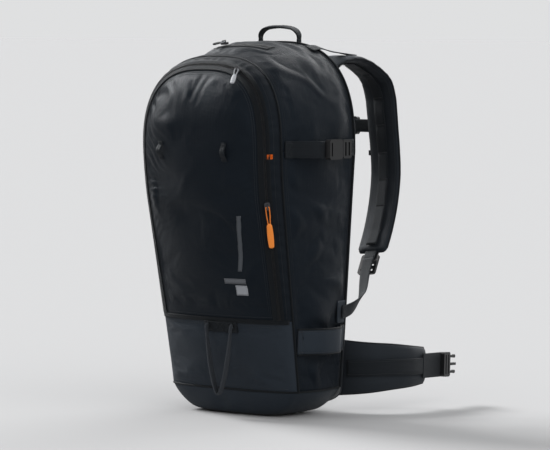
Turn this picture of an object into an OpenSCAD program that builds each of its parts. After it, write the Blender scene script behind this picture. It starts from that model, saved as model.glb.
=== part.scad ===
// Ski backpack of about 26 litres: a U-shaped gusset joins the front panel to a stiffened back panel.
// The front panel is a zipped flap, and each side carries one ski in an upper strap and a lower loop.
// X is the wearer's right, -Y faces away from the wearer, and the pack stands on Z = 0.

/* [Pack body] */
// Height of the back panel
pack_height = 560; // [540:5:590]
// Width of the back panel at its widest
pack_width = 294; // [284:2:310]
// Depth of the fabric body where it is fullest
pack_depth = 208; // [200:2:220]
// Thickness of the fabric walls with their foam lining
wall = 2.4; // [1.8:0.2:3]
// Height of the hinge line along the bottom of the front flap
flap_bottom = 148; // [140:2:160]

/* [Harness] */
// Width of a shoulder strap pad
strap_width = 62; // [54:2:68]
// Thickness of a shoulder strap pad
strap_pad = 11; // [9:0.5:13]
// Height of a hip wing at its root
wing_height = 88; // [80:2:94]
// Thickness of a hip wing
wing_pad = 12; // [10:0.5:14]

/* [Straps and loops] */
// Width of the webbing of the hip belt
hip_webbing = 38; // [32:1:40]
// Width of the webbing of the ski straps
ski_webbing = 25; // [20:1:28]
// Free space between the side panel and the upper ski strap
strap_space = 26; // [20:1:32]
// Free space between the side panel and the lower ski loop
loop_space = 16; // [14:1:24]
// Thickness of every webbing
webbing = 1.6; // [1.2:0.2:2]

/* [Hidden] */
$fn = 32;

fabric = [0.12, 0.14, 0.16];
tough_fabric = [0.16, 0.18, 0.2];
mesh_fabric = [0.1, 0.1, 0.11];
strap_colour = [0.08, 0.08, 0.09];
plastic = [0.05, 0.05, 0.06];
orange = [0.95, 0.5, 0.1];
reflective = [0.6, 0.62, 0.64];

// The wearer's side of the back panel, which puts the middle of the base on Y = 0
back_y = 70;
back_thick = 5;
gap = 0.4;
base_height = 40;
arch = 0.75;
corner_share = 0.36;
corner_z = pack_height - 162;
front_top_z = pack_height - 20;
full_z = pack_height - 230;
zip_inset = 12;
crown_low = 24;
crown_high = 51;
seam_low = pack_depth - 102;
seam_high = pack_depth - 59;
top_drop = 34;
front_half_low = pack_width / 2 - 24;
front_half_high = pack_width / 2 - 16;
back_half_low = pack_width / 2 - 27;
back_half_high = pack_width / 2;
inner_y = back_y - back_thick - gap;

// ---- helpers ----

function lerp(a, b, t) = a + (b - a) * t;
function clamp01(t) = max(0, min(1, t));
function unit(v) = v / norm(v);
function signed_pow(v, e) = sign(v) * pow(abs(v), e);

// Point on a tombstone outline [half width low, half width high, z low, z corner, z top],
// from its lower right (u = 0) over the top to its lower left (u = 1)
function outline(o, u) =
    u < corner_share ? lerp([o[0], o[2]], [o[1], o[3]], u / corner_share)
    : u > 1 - corner_share ? let(p = outline(o, 1 - u)) [-p[0], p[1]]
    : let(a = 180 * (u - corner_share) / (1 - 2 * corner_share))
      [o[1] * signed_pow(cos(a), arch), o[3] + (o[4] - o[3]) * pow(abs(sin(a)), arch)];

// Direction out of a tombstone outline, in the XZ plane
function outward(u) =
    u < corner_share ? [1, 0]
    : u > 1 - corner_share ? [-1, 0]
    : let(a = 180 * (u - corner_share) / (1 - 2 * corner_share)) [cos(a), sin(a)];

// Smooth curve through hand-placed points, with steps spans between each two
function curve(p, steps = 5) = [
    for (i = [0:len(p) - 2], k = [0:(i == len(p) - 2 ? steps : steps - 1)])
        let(t = k / steps, a = p[max(0, i - 1)], b = p[i], c = p[i + 1], d = p[min(len(p) - 1, i + 2)])
        b + 0.5 * t * (c - a) + t * t * (a - 2.5 * b + 2 * c - 0.5 * d)
            + t * t * t * (-0.5 * a + 1.5 * b - 1.5 * c + 0.5 * d)
];

function step_vector(f, u, v, du, dv) = f(u + du, v + dv) - f(u - du, v - dv);
function surface_normal(f, u, v) =
    unit(cross(step_vector(f, u, v, 0.002, 0), step_vector(f, u, v, 0, 0.002)));

// Thin closed wall that follows surface f over u and v ranges [from, to, spans], between two lifts.
// Lifts are along the surface's normal, which points inwards on the gusset and the collar.
module wall_on(f, u, v, low, high) {
    nu = u[2] + 1;
    nv = v[2] + 1;
    function layer(lift) = [
        for (i = [0:u[2]], j = [0:v[2]])
            let(a = lerp(u[0], u[1], i / u[2]), b = lerp(v[0], v[1], j / v[2]))
            f(a, b) + surface_normal(f, a, b) * lift
    ];
    count = nu * nv;
    top = [for (i = [0:u[2] - 1], j = [0:v[2] - 1])
        let(q = i * nv + j) each [[q, q + 1, q + nv + 1], [q, q + nv + 1, q + nv]]];
    bottom = [for (t = top) [t[2] + count, t[1] + count, t[0] + count]];
    rim_path = concat(
        [for (j = [0:v[2] - 1]) j],
        [for (i = [0:u[2] - 1]) i * nv + v[2]],
        [for (j = [v[2]:-1:1]) u[2] * nv + j],
        [for (i = [u[2]:-1:1]) i * nv]
    );
    rim = [for (k = [0:len(rim_path) - 1])
        let(a = rim_path[k], b = rim_path[(k + 1) % len(rim_path)])
        each [[b, a, a + count], [b, a + count, b + count]]];
    polyhedron(points = concat(layer(high), layer(low)), faces = concat(top, bottom, rim));
}

// Cross-section of a band: a plain rectangle, or one with its corners cut by c
function band_section(w, t, c) = c > 0
    ? [[w/2, t/2 - c], [w/2 - c, t/2], [c - w/2, t/2], [-w/2, t/2 - c],
       [-w/2, c - t/2], [c - w/2, -t/2], [w/2 - c, -t/2], [w/2, c - t/2]]
    : [[w/2, t/2], [-w/2, t/2], [-w/2, -t/2], [w/2, -t/2]];

// Value at t of a list of values spaced evenly from t = 0 to t = 1
function along_list(v, t) =
    let(k = t * (len(v) - 1), j = min(len(v) - 2, floor(k))) lerp(v[j], v[j + 1], k - j);

// Strap swept along points, its width lying along the direction across, which may turn from
// one direction to another; widths are spaced evenly along it, and c cuts its corners
module band(points, widths, thick, across, c = 0) {
    last = len(points) - 1;
    sides = c > 0 ? 8 : 4;
    turns = is_list(across[0]) ? across : [across, across];
    rings = [for (i = [0:last])
        let(
            along = unit(points[min(last, i + 1)] - points[max(0, i - 1)]),
            side = lerp(turns[0], turns[1], i / last),
            wide = unit(side - along * (side * along)),
            up = cross(along, wide),
            w = along_list(widths, i / last)
        )
        each [for (s = band_section(w, thick, c)) points[i] + wide * s[0] + up * s[1]]];
    skin = [for (i = [0:last - 1], j = [0:sides - 1])
        let(a = i * sides + j, b = i * sides + (j + 1) % sides)
        each [[a, b, b + sides], [a, b + sides, a + sides]]];
    polyhedron(
        points = rings,
        faces = concat(
            skin,
            [[for (j = [sides - 1:-1:0]) j]],
            [[for (j = [0:sides - 1]) last * sides + j]]
        )
    );
}

// Rectangle in the XY plane with true arcs at its corners
module rounded_square(size, r) {
    square([size[0] - 2 * r, size[1]], center = true);
    square([size[0], size[1] - 2 * r], center = true);
    for (x = [-1, 1], y = [-1, 1])
        translate([x * (size[0] / 2 - r), y * (size[1] / 2 - r)]) circle(r);
}

// Plate with rounded corners, centred on the origin with its underside at z = 0
module plate(size, thick, r) {
    linear_extrude(thick) rounded_square(size, r);
}

// Puts its children on a local frame: X, Y and Z directions and a place
module on_frame(x, y, z, place) {
    multmatrix([
        [x[0], y[0], z[0], place[0]],
        [x[1], y[1], z[1], place[1]],
        [x[2], y[2], z[2], place[2]],
        [0, 0, 0, 1]
    ]) children();
}

module left() {
    mirror([1, 0, 0]) children();
}

// ---- shape of the fabric body ----

back_line = [back_half_low, back_half_high, base_height, corner_z, pack_height];
front_line = [front_half_low, front_half_high, base_height, corner_z, front_top_z];
function front_half(z) = lerp(front_half_low, front_half_high,
    clamp01((z - base_height) / (corner_z - base_height)));
seam_line = [front_half(flap_bottom), front_half_high, flap_bottom, corner_z, front_top_z];
zip_line = seam_line - [zip_inset, zip_inset, 0, 0, zip_inset];

// Depth of the front seam behind which the gusset runs, measured from the wearer's side
function seam_depth(z) =
    lerp(seam_low, seam_high, (z - base_height) / (full_z - base_height))
    - top_drop * pow(clamp01((z - full_z) / (front_top_z - full_z)), 2);
function inside(x, z) = 1 - pow(abs(x) / front_half(z), 2 / arch)
    - pow(clamp01((z - corner_z) / (front_top_z - corner_z)), 2 / arch);
function crown(z) = lerp(crown_low, crown_high, clamp01((z - base_height) / (full_z - base_height)));
function front_depth(x, z) = seam_depth(z) + crown(z) * sqrt(max(0, inside(x, z)));
function front_point(x, z) = [x, back_y - front_depth(x, z), z];

// Front face between two edge lines: u runs along the U, t from the first line to the second
front_between = function(from, to, u, t)
    let(q = lerp(outline(from, u), outline(to, u), 1 - pow(1 - t, 2))) front_point(q[0], q[1]);
collar_surface = function(u, t) front_between(zip_line, seam_line, u, t);
flap_edge_surface = function(u, t)
    let(q = outline(zip_line, u) - outward(u) * 11 * t) front_point(q[0], q[1]);

// The flap: p is an angle from the left edge (-90) to the right edge (90), r runs up it
flap_surface = function(p, r)
    let(
        top = corner_z + (zip_line[4] - corner_z) * pow(abs(cos(p)), arch),
        z = lerp(flap_bottom, top, r),
        x = (front_half(z) - zip_inset) * signed_pow(sin(p), arch)
    ) front_point(x, z);

lower_front_surface = function(p, r)
    let(z = lerp(base_height + gap, flap_bottom - 1, r))
    front_point(front_half(z) * signed_pow(sin(p), arch), z);

// Gusset from the front seam (t = 0) to the back panel (t = 1), with a slight bulge
gusset_bulge = 8;
crown_gap = 0.0001;
gusset_surface = function(u, t)
    let(
        f = outline(front_line, u),
        b = outline(back_line, u),
        n = outward(u),
        swell = gusset_bulge * 4 * t * (1 - t)
    )
    lerp([f[0], back_y - seam_depth(f[1]), f[1]], [b[0], inner_y, b[1]], t) + [n[0], 0, n[1]] * swell;

// Point on the right side panel at height z, t from front to back, lifted off it towards +X
function on_side(z, t, lift) =
    gusset_surface(corner_share * clamp01((z - base_height) / (corner_z - base_height)), t)
    + [lift, 0, max(0, z - corner_z)];

module side_panel_right() {
    color(tough_fabric)
        wall_on(gusset_surface, [0.001, corner_share - 0.0006, 12], [0.004, 0.996, 6], 0, wall);
}

module crown_panel() {
    color(fabric)
        wall_on(gusset_surface, [corner_share + crown_gap, 1 - corner_share - crown_gap, 24],
            [0.004, 0.996, 6], 0, wall);
}

module zip_gusset() {
    color(fabric) wall_on(collar_surface, [0.004, 0.996, 48], [0.03, 0.985, 4], 0, wall);
}

module lower_front_panel() {
    color(tough_fabric) wall_on(lower_front_surface, [86, -86, 18], [0, 1, 4], -wall, 0);
}

module front_flap() {
    color(fabric) wall_on(flap_surface, [89, -89, 22], [0.003, 0.996, 14], -wall, 0);
}

module body_zip_tape() {
    color(strap_colour) wall_on(collar_surface, [0.006, 0.994, 48], [0.03, 0.3, 1], -1.3, -0.4);
}

module flap_zip_tape() {
    color(strap_colour) wall_on(flap_edge_surface, [0.994, 0.006, 48], [0.04, 0.85, 2], 0.75, 1.3);
}

// Closed ring round the body at the top of the base: back, right side, front, left side
side_spans = 5;
front_spans = 16;
base_ring = concat(
    [for (k = [0:6]) [lerp(-back_half_low, back_half_low, k / 6), inner_y]],
    [for (k = [1:side_spans - 1]) let(p = gusset_surface(0, 1 - k / side_spans)) [p[0], p[1]]],
    [for (k = [0:front_spans])
        let(p = front_point(front_half_low * sin(lerp(88, -88, k / front_spans)), base_height))
        [p[0], p[1]]],
    [for (k = [side_spans - 1:-1:1]) let(p = gusset_surface(0, 1 - k / side_spans)) [-p[0], p[1]]]
);
// How far the base tapers in from its seam to the board, at each end and in its depth
base_taper = 46;
base_round = 26;
board_thick = 3;
function base_level(a, shrink, floor_z) = [
    for (p = base_ring)
        let(
            k = pow(1 - cos(a), 0.6),
            sx = 1 - (base_taper * k + shrink) / front_half_low,
            sy = 1 - (base_round * k + shrink) / 110
        )
        [p[0] * sx, p[1] * sy, lerp(base_height - gap, floor_z, sin(a))]
];

module base_panel() {
    levels = [0, 22.5, 45, 67.5, 90];
    rings = concat(
        [for (a = levels) base_level(a, 0, board_thick + gap)],
        [for (a = [90, 67.5, 45, 22.5, 0]) base_level(a, wall, board_thick + gap + wall)]
    );
    m = len(base_ring);
    last = len(rings) - 1;
    skin = [for (i = [0:last], j = [0:m - 1])
        let(
            a = i * m + j,
            b = i * m + (j + 1) % m,
            c = ((i + 1) % (last + 1)) * m + j,
            d = ((i + 1) % (last + 1)) * m + (j + 1) % m
        )
        if (i != 4) each [[a, d, b], [a, c, d]]];
    color(tough_fabric) polyhedron(
        points = [for (r = rings) each r],
        faces = concat(
            skin,
            [[for (j = [m - 1:-1:0]) 4 * m + j]],
            [[for (j = [0:m - 1]) 5 * m + j]]
        )
    );
}

// Moulded board under the base, the flat face that the pack stands on
board_size = [144, 70];
module base_board() {
    color(plastic) plate(board_size, board_thick, 22);
}

// ---- back panel and its internal frame ----

back_foot = 14;
foot_round = [44, 24];
function foot_at(a, side) =
    [side * (back_half_low - foot_round[0] * (1 - sin(a))), back_foot + foot_round[1] * (1 - cos(a))];
back_outline = concat(
    [for (a = [90:-22.5:0]) foot_at(a, -1)],
    [for (a = [0:22.5:90]) foot_at(a, 1)],
    [for (k = [0:40]) outline(back_line, k / 40)]
);

module upright(y) {
    translate([0, y, 0]) rotate([90, 0, 0]) children();
}

module back_panel() {
    color(fabric) upright(back_y) linear_extrude(back_thick) polygon(back_outline);
}

sheet_thick = 1.6;
sheet_size = [208, 430];
sheet_z = 275;
module frame_sheet() {
    color("white") upright(inner_y) translate([0, sheet_z, 0]) plate(sheet_size, sheet_thick, 24);
}

stay_size = [18, 400];
stay_thick = 3;
module frame_stays() {
    color("silver") for (x = [-58, 58])
        upright(inner_y - sheet_thick - gap) translate([x, sheet_z, 0]) plate(stay_size, stay_thick, 4);
}

sleeve_y = inner_y - sheet_thick - stay_thick - 3 * gap;
module probe_sleeve() {
    color(orange) upright(sleeve_y) translate([-52, 262, 0]) plate([62, 300], 4, 8);
}

module shovel_sleeve() {
    color(orange) upright(sleeve_y) translate([52, 252, 0]) plate([74, 280], 4, 8);
}

// Flat, empty goggle pocket hung inside the crown
module goggle_pocket() {
    color(mesh_fabric) upright(sleeve_y - 5) translate([0, 494, 0]) plate([150, 84], 5, 16);
}

pad_thick = 14;
module back_pad_right() {
    color(mesh_fabric) upright(back_y + gap + pad_thick)
        translate([62, 282, 0]) plate([76, 250], pad_thick, 26);
}

lumbar_z = 94;
module lumbar_pad() {
    color(mesh_fabric) upright(back_y + gap + 16) translate([0, lumbar_z, 0]) plate([150, 112], 16, 30);
}

// ---- shoulder straps ----

// Route of the right pad from its seam on the back panel, over the shoulder and down the chest
chest_y = back_y + 150;
pad_route = [
    [54, back_y + 6.6, 440], [55, back_y + 9, 484], [58, back_y + 36, 527], [64, back_y + 88, 534],
    [72, back_y + 136, 508], [76, chest_y - 1.5, 480], [79, chest_y, 452], [82, chest_y, 424],
    [85, chest_y, 396], [90, back_y + 146, 356], [96, back_y + 132, 312], [102, back_y + 112, 272],
    [107, back_y + 90, 238]
];
last_pad = len(pad_route) - 1;
pad_end = pad_route[last_pad];
tab_z = 156;

module shoulder_strap_right() {
    color(fabric) band(curve(pad_route, 3), [strap_width, strap_width - 10], strap_pad, [1, 0, 0], 3);
}

// The ladder lock hangs from the end of the pad; the webbing runs behind it to the tab at the base
lock_down = unit(pad_end - pad_route[last_pad - 1]);
lock_side = unit([1, 0, 0] - lock_down * lock_down[0]);
lock_out = cross(lock_side, lock_down);
lock_place = pad_end + lock_down * 4;
lock_size = [32, 34];
lock_thick = 4;

module strap_buckle_right() {
    color(plastic) on_frame(lock_side, lock_down, lock_out, lock_place)
        translate([0, lock_size[1] / 2, -lock_thick / 2]) linear_extrude(lock_thick) difference() {
            rounded_square(lock_size, 4);
            for (y = [-9, 1, 10]) translate([0, y]) square([23, 4.5], center = true);
        }
}

webbing_top = lock_place + lock_down * 8 + lock_out * -4.5;
webbing_route = curve([
    webbing_top, webbing_top + lock_down * 30 + [2, 0, 0], [124, back_y + 44, 176],
    [133, back_y + 14, tab_z + 6], on_side(tab_z, 0.975, 5), on_side(tab_z, 0.88, 5)
], 5);
module strap_webbing_right() {
    color(strap_colour) band(webbing_route, [20, 20], webbing, [[1, 0, 0], [0, 0, 1]]);
}

// Patch sewn on the side panel at the back seam, which holds the lower end of the strap webbing
function side_u(z) = corner_share * (z - base_height) / (corner_z - base_height);
module strap_tab_right() {
    color(tough_fabric)
        wall_on(gusset_surface, [side_u(tab_z - 17), side_u(tab_z + 17), 3], [0.8, 0.98, 3], -2.4, -0.4);
}

lifter_route = curve([
    [76, back_y - 24, pack_height - 8.4], [74, back_y - 1, pack_height - 6.5],
    [71, back_y + 28, pack_height - 12], [67, back_y + 64, pack_height - 16],
    [64, back_y + 94, pack_height - 19.4]
], 4);
module load_lifter_right() {
    color(strap_colour) band(lifter_route, [18, 18], webbing, [[0.92, 0, -0.39], [1, 0, 0]]);
}

// ---- sternum strap ----

sternum_z = 430;
rail_r = 1.6;
rail_x = 52;
rail_y = chest_y + strap_pad / 2 + 5;
rail_half = 42;
module sternum_rail_right() {
    color(plastic) {
        translate([rail_x, rail_y, sternum_z - rail_half]) cylinder(r = rail_r, h = 2 * rail_half);
        for (z = [-1, 1]) translate([rail_x + 2, rail_y - 1.2, sternum_z + z * rail_half])
            cube([12, 7.2, 8], center = true);
    }
}

clip_size = [11, 9, 20];
sternum_layer = rail_y + 3.4;
module sternum_webbing() {
    color(strap_colour) for (side = [-1, 1]) {
        difference() {
            translate([side * (rail_x - 1), rail_y, sternum_z]) cube(clip_size, center = true);
            translate([side * rail_x, rail_y, sternum_z - 20]) cylinder(r = rail_r + 0.05, h = 40);
        }
        translate([side > 0 ? 27 : -32, rail_y, sternum_z])
            cube([side > 0 ? 37.6 : 27.6, webbing, 20], center = true);
    }
}

// ---- side-release buckles: X runs from the socket's rear to its mouth, Z is the thickness ----

socket_length = 30;
prong_reach = 21;
module socket(width) {
    difference() {
        translate([-socket_length / 2, 0, 0]) linear_extrude(9, center = true)
            rounded_square([socket_length, width + 10], 4);
        translate([-prong_reach - 1, -width / 2 - 1, -2.75]) cube([prong_reach + 2, width + 2, 5.5]);
        for (y = [-1, 1]) translate([-13, y * (width / 2 + 4), 0]) cube([13, 10, 5.4], center = true);
        translate([-25, 0, 0]) cube([2.6, width, 20], center = true);
    }
}

module prong(width) {
    linear_extrude(7, center = true) difference() {
        translate([11, 0]) rounded_square([20, width + 8], 4);
        for (x = [7, 15]) translate([x, 0]) square([3, width], center = true);
    }
    linear_extrude(4.4, center = true) {
        translate([-9, 0]) square([22, 4], center = true);
        for (y = [-1, 1]) translate([-7, y * (width / 2 - 3)]) {
            square([18, 3.6], center = true);
            translate([-8, 0]) circle(2.6);
        }
    }
}

module sternum_socket() {
    color(plastic) translate([-2, rail_y + 5.4, sternum_z]) rotate([90, 0, 0]) socket(20);
}

module sternum_prong() {
    color(plastic) translate([-1, rail_y + 5.4, sternum_z]) rotate([90, 0, 0]) prong(20);
}

// ---- haul loop, top pocket zip ----

haul_pivot = [0, back_y - back_thick / 2, pack_height + 5.5];
haul_points = [[-38, 0, 0], [-37, 0, 8], [-26, 0, 16], [0, 0, 19], [26, 0, 16], [37, 0, 8], [38, 0, 0]];
module haul_loop() {
    color(strap_colour) translate(haul_pivot)
        band(curve(haul_points, 4), [7, 18, 18, 18, 7], 2.4, [0, 1, 0]);
}

// The zip of the goggle pocket lies across the middle of the crown
top_zip_t = 0.42;
top_zip_place = gusset_surface(0.5, top_zip_t);
top_zip_back = unit(gusset_surface(0.5, top_zip_t + 0.05) - gusset_surface(0.5, top_zip_t - 0.05));
top_zip_up = cross([1, 0, 0], top_zip_back);
module on_top_zip() {
    on_frame([1, 0, 0], top_zip_back, top_zip_up, top_zip_place) children();
}

module pocket_zip_tape() {
    color(strap_colour)
        wall_on(gusset_surface, [0.476, 0.524, 8], [top_zip_t - 0.07, top_zip_t + 0.07, 1], -1.3, -0.4);
}

// Zip slider that runs along Y, or along X when turned, with an eye on top for the pull
module slider(lift, turn = 0) {
    translate([0, 0, lift]) {
        rotate(turn) plate([8.5, 12], 3.2, 3);
        translate([0, -1, 3.1]) difference() {
            translate([-1.2, -3.5, 0]) cube([2.4, 7, 3.4]);
            translate([-5, 0, 1.7]) rotate([0, 90, 0]) cylinder(r = 1, h = 10);
        }
    }
}

// Pull that hangs from the slider's eye down along -Y: a cord loop with a moulded grip
module pull(lift, length, colour) {
    eye = lift + 4.8;
    color(colour) translate([0, -1, eye]) {
        rotate([0, 90, 0]) cylinder(r = 0.8, h = 6.4, center = true);
        for (x = [-1, 1]) translate([x * 2.6, 0, 0]) rotate([90, 0, 0]) cylinder(r = 0.8, h = length * 0.42);
        translate([0, -length * 0.7, -1.7]) plate([7, length * 0.6], 3.4, 3);
    }
}

zip_lift = 1.6;
pocket_slider_x = -38;
module pocket_slider() {
    color(plastic) on_top_zip() translate([pocket_slider_x, 0, 0]) slider(zip_lift, 90);
}

module pocket_pull() {
    on_top_zip() translate([pocket_slider_x, 0, 0]) pull(zip_lift, 24, strap_colour);
}

// ---- sliders of the front flap ----

side_slider_u = 0.25;
top_slider_u = 0.461;
top_lift = zip_lift + 0.6;
front_surface = function(x, z) front_point(x, z);
function zip_place(u) = collar_surface(u, 0);
function zip_path(u) = unit(zip_place(u + 0.01) - zip_place(u - 0.01));
// Frame of X, Y and Z directions on the flap's zip: Z out of it, Y along it or, when level, uphill
function zip_frame(u, level) =
    let(
        place = zip_place(u),
        path = zip_path(u),
        raw = surface_normal(front_surface, place[0], place[2]),
        out = unit(raw - path * (raw * path)),
        up = level ? unit([0, 0, 1] - out * out[2]) : path
    ) [cross(up, out), up, out, place];

module on_flap_zip(u, level = false) {
    f = zip_frame(u, level);
    on_frame(f[0], f[1], f[2], f[3]) children();
}

module zip_slider_side() {
    color(plastic) on_flap_zip(side_slider_u) slider(zip_lift);
}

module zip_pull_side() {
    on_flap_zip(side_slider_u) pull(zip_lift, 62, orange);
}

// The zip slopes where the top slider rests, so its body turns while its pull hangs straight
top_frame = zip_frame(top_slider_u, true);
top_turn = atan2(zip_path(top_slider_u) * top_frame[1], zip_path(top_slider_u) * top_frame[0]) - 90;
module zip_slider_top() {
    color(plastic) on_flap_zip(top_slider_u, true) slider(top_lift, top_turn);
}

module zip_pull_top() {
    on_flap_zip(top_slider_u, true) pull(top_lift, 28, reflective);
}

// ---- small parts on the front ----

// Plain reflective marks on the flap: a bar that leans outwards at its top, a strip and a small block
bar_lean = 0.15;
bar_surface = function(u, z) front_point(u + bar_lean * (z - 264), z);
module reflective_marks() {
    color(reflective) {
        wall_on(bar_surface, [67, 74, 2], [222, 306, 8], 0.3, 0.8);
        wall_on(front_surface, [36, 73, 4], [203, 211, 1], 0.3, 0.8);
        wall_on(front_surface, [54, 73, 2], [186, 201, 2], 0.3, 0.8);
    }
}

axe_z = flap_bottom - 12;
axe_y = front_point(0, axe_z)[1] - 7;
axe_x = 12;
axe_half = [[-24, 0], [-20, -34], [-12, -74]];
axe_points = [
    for (k = concat(axe_half, [[0, -102]], [for (i = [2:-1:0]) [-axe_half[i][0], axe_half[i][1]]]))
        [axe_x + k[0], axe_y, axe_z + k[1]]
];
module axe_loop() {
    color(strap_colour) band(curve(axe_points, 5), [5, 10, 10, 10, 5], webbing, [0, 1, 0]);
}

// Sewn patch that carries the ice-axe loop
module axe_anchor() {
    color(strap_colour)
        wall_on(front_surface, [axe_x - 31, axe_x + 31, 6], [axe_z - 8, axe_z + 8, 2], 0.4, 3);
}

// Two small loops high on the flap, for a helmet net
helmet_x = 61;
helmet_z = 400;
module helmet_loops() {
    color(strap_colour) for (side = [-1, 1])
        band(curve([
            for (k = [[-13, 1.6], [-9, 2], [-5, 5.5], [0, 7], [5, 5.5], [9, 2], [13, 1.6]])
                front_point(side * helmet_x, helmet_z + k[0]) + [side * 0.25 * k[1], -k[1], 0]
        ], 2), [9, 9], webbing, [1, 0, 0]);
}

// ---- ski carriers on the right side ----

ski_strap_z = 404;
ski_loop_z = 116;
strap_out = on_side(ski_strap_z, 0.5, strap_space + 1)[0];
loop_out = on_side(ski_loop_z, 0.5, loop_space + 2)[0];
// Outer run of a carrier, with both of its ends flat on the side panel
carrier_lift = 2.5;
function carrier_route(z, out) =
    let(front = on_side(z, 0.11, carrier_lift), rear = on_side(z, 0.89, carrier_lift))
    concat(
        [on_side(z, 0.03, carrier_lift)],
        curve([
            front, [out - 5, front[1] + 18, z], [out, front[1] + 32, z],
            [out, rear[1] - 32, z], [out - 5, rear[1] - 18, z], rear
        ], 4),
        [on_side(z, 0.97, carrier_lift)]
    );

module ski_strap_right() {
    color(strap_colour)
        band(carrier_route(ski_strap_z, strap_out), [ski_webbing, ski_webbing], webbing, [0, 0, 1]);
}

buckle_y = -8;
module on_ski_strap() {
    on_frame([0, 1, 0], [0, 0, 1], [1, 0, 0], [strap_out + 6.6, buckle_y, ski_strap_z]) children();
}

module ski_socket_right() {
    color(plastic) on_ski_strap() socket(ski_webbing - 5);
}

module ski_prong_right() {
    color(plastic) on_ski_strap() translate([1, 0, 0]) prong(ski_webbing - 5);
}

module ski_loop_right() {
    color(tough_fabric)
        band(carrier_route(ski_loop_z, loop_out), [38, 38], 2.4, [[0.05, 0, 1], [0.075, 0, 1]], 0.6);
}

// ---- hip belt ----

// Centre line of the right wing, from the lumbar pad round the hip
wing_z = 68;
wing_route = [
    [81, back_y + 9, wing_z], [114, back_y + 12, wing_z], [146, back_y + 30, wing_z],
    [164, back_y + 64, wing_z], [170, back_y + 106, wing_z - 2], [163, back_y + 148, wing_z - 4]
];
wing_tip = wing_route[5];
wing_ahead = unit(wing_route[5] - wing_route[4]);
wing_outward = unit([wing_ahead[1], -wing_ahead[0], 0]);

module hip_wing_right() {
    color(fabric) band(curve(wing_route, 5), [wing_height, wing_height - 34], wing_pad, [0, 0, 1], 3.5);
}

hip_run = [for (d = [-18, 4, 24, 46]) wing_tip + wing_ahead * d + wing_outward * (wing_pad / 2 + 2)];
module hip_webbing_right() {
    color(strap_colour) band(curve(hip_run, 3), [hip_webbing, hip_webbing], webbing, [0, 0, 1]);
}

module on_hip_end(lift) {
    on_frame(-wing_ahead, cross(wing_outward, -wing_ahead), wing_outward,
        hip_run[3] + wing_ahead * 12 + wing_outward * lift) children();
}

module hip_socket() {
    color(plastic) left() on_frame(wing_ahead, cross(wing_outward, wing_ahead), wing_outward,
        hip_run[3] + wing_ahead * 22 + wing_outward * 6) socket(hip_webbing - 8);
}

module hip_prong() {
    color(plastic) on_hip_end(5) prong(hip_webbing - 8);
}

// ---- one node at a time ----

back_panel();
frame_sheet();
frame_stays();
left() back_pad_right();  // back_pad_left
back_pad_right();
lumbar_pad();
left() side_panel_right();  // side_panel_left
side_panel_right();
crown_panel();
zip_gusset();
lower_front_panel();
base_panel();
base_board();
body_zip_tape();
pocket_zip_tape();
goggle_pocket();
probe_sleeve();
shovel_sleeve();
left() shoulder_strap_right();  // shoulder_strap_left
shoulder_strap_right();
left() strap_webbing_right();  // strap_webbing_left
strap_webbing_right();
left() strap_tab_right();  // strap_tab_left
strap_tab_right();
left() load_lifter_right();  // load_lifter_left
load_lifter_right();
left() sternum_rail_right();  // sternum_rail_left
sternum_rail_right();
left() ski_strap_right();  // ski_strap_left
ski_strap_right();
left() ski_socket_right();  // ski_socket_left
ski_socket_right();
left() ski_loop_right();  // ski_loop_left
ski_loop_right();
helmet_loops();
front_flap();
flap_zip_tape();
reflective_marks();
zip_slider_side();
zip_pull_side();
zip_slider_top();
zip_pull_top();
pocket_slider();
pocket_pull();
haul_loop();
left() hip_wing_right();  // hip_wing_left
hip_wing_right();
left() hip_webbing_right();  // hip_webbing_left
hip_webbing_right();
hip_socket();
hip_prong();
sternum_webbing();
sternum_socket();
sternum_prong();
left() ski_prong_right();  // ski_prong_left
ski_prong_right();
axe_anchor();
axe_loop();
left() strap_buckle_right();  // strap_buckle_left
strap_buckle_right();
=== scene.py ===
"""Looks of a ski backpack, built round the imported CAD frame, in millimetres until a mesh is made."""

import math

import bmesh
import bpy
import numpy as np
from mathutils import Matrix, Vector
from mathutils.bvhtree import BVHTree


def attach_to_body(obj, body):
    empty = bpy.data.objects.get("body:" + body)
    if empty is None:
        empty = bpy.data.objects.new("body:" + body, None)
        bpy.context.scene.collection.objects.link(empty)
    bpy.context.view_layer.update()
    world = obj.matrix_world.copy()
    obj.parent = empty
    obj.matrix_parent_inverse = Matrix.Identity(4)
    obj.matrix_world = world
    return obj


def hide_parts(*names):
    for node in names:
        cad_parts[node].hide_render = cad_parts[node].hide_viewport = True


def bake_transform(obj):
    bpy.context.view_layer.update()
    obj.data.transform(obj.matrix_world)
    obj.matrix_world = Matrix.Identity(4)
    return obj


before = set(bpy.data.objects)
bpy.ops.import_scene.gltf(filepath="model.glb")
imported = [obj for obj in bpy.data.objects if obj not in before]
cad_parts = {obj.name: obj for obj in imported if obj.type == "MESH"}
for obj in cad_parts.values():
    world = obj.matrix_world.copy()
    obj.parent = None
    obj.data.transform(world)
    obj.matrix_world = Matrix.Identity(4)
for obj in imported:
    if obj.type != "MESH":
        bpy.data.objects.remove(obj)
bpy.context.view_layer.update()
MM = 0.001
scene = bpy.context.scene

# ---------------------------------------------------------------- body shape, as in the CAD part
ARCH, SHARE = 0.75, 0.36
BACK_Y, INNER_Y = 70.0, 64.6
BASE_Z, FLAP_Z, FULL_Z, CORNER_Z = 40.0, 148.0, 330.0, 398.0
FRONT_Z, TOP_Z = 540.0, 560.0  # top of the front seam and of the back panel
SEAM_LOW, SEAM_HIGH, SEAM_DROP = 106.0, 149.0, 34.0  # how far the front seam stands before the back
CROWN_LOW, CROWN_HIGH = 24.0, 51.0  # how far the front bulges past its seam
SWELL = 8.0  # how far the sides bulge
FRONT_LINE = (123.0, 131.0, BASE_Z, CORNER_Z, FRONT_Z)
BACK_LINE = (120.0, 147.0, BASE_Z, CORNER_Z, TOP_Z)
INSET = 12.0  # from the front seam to the zip


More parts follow.
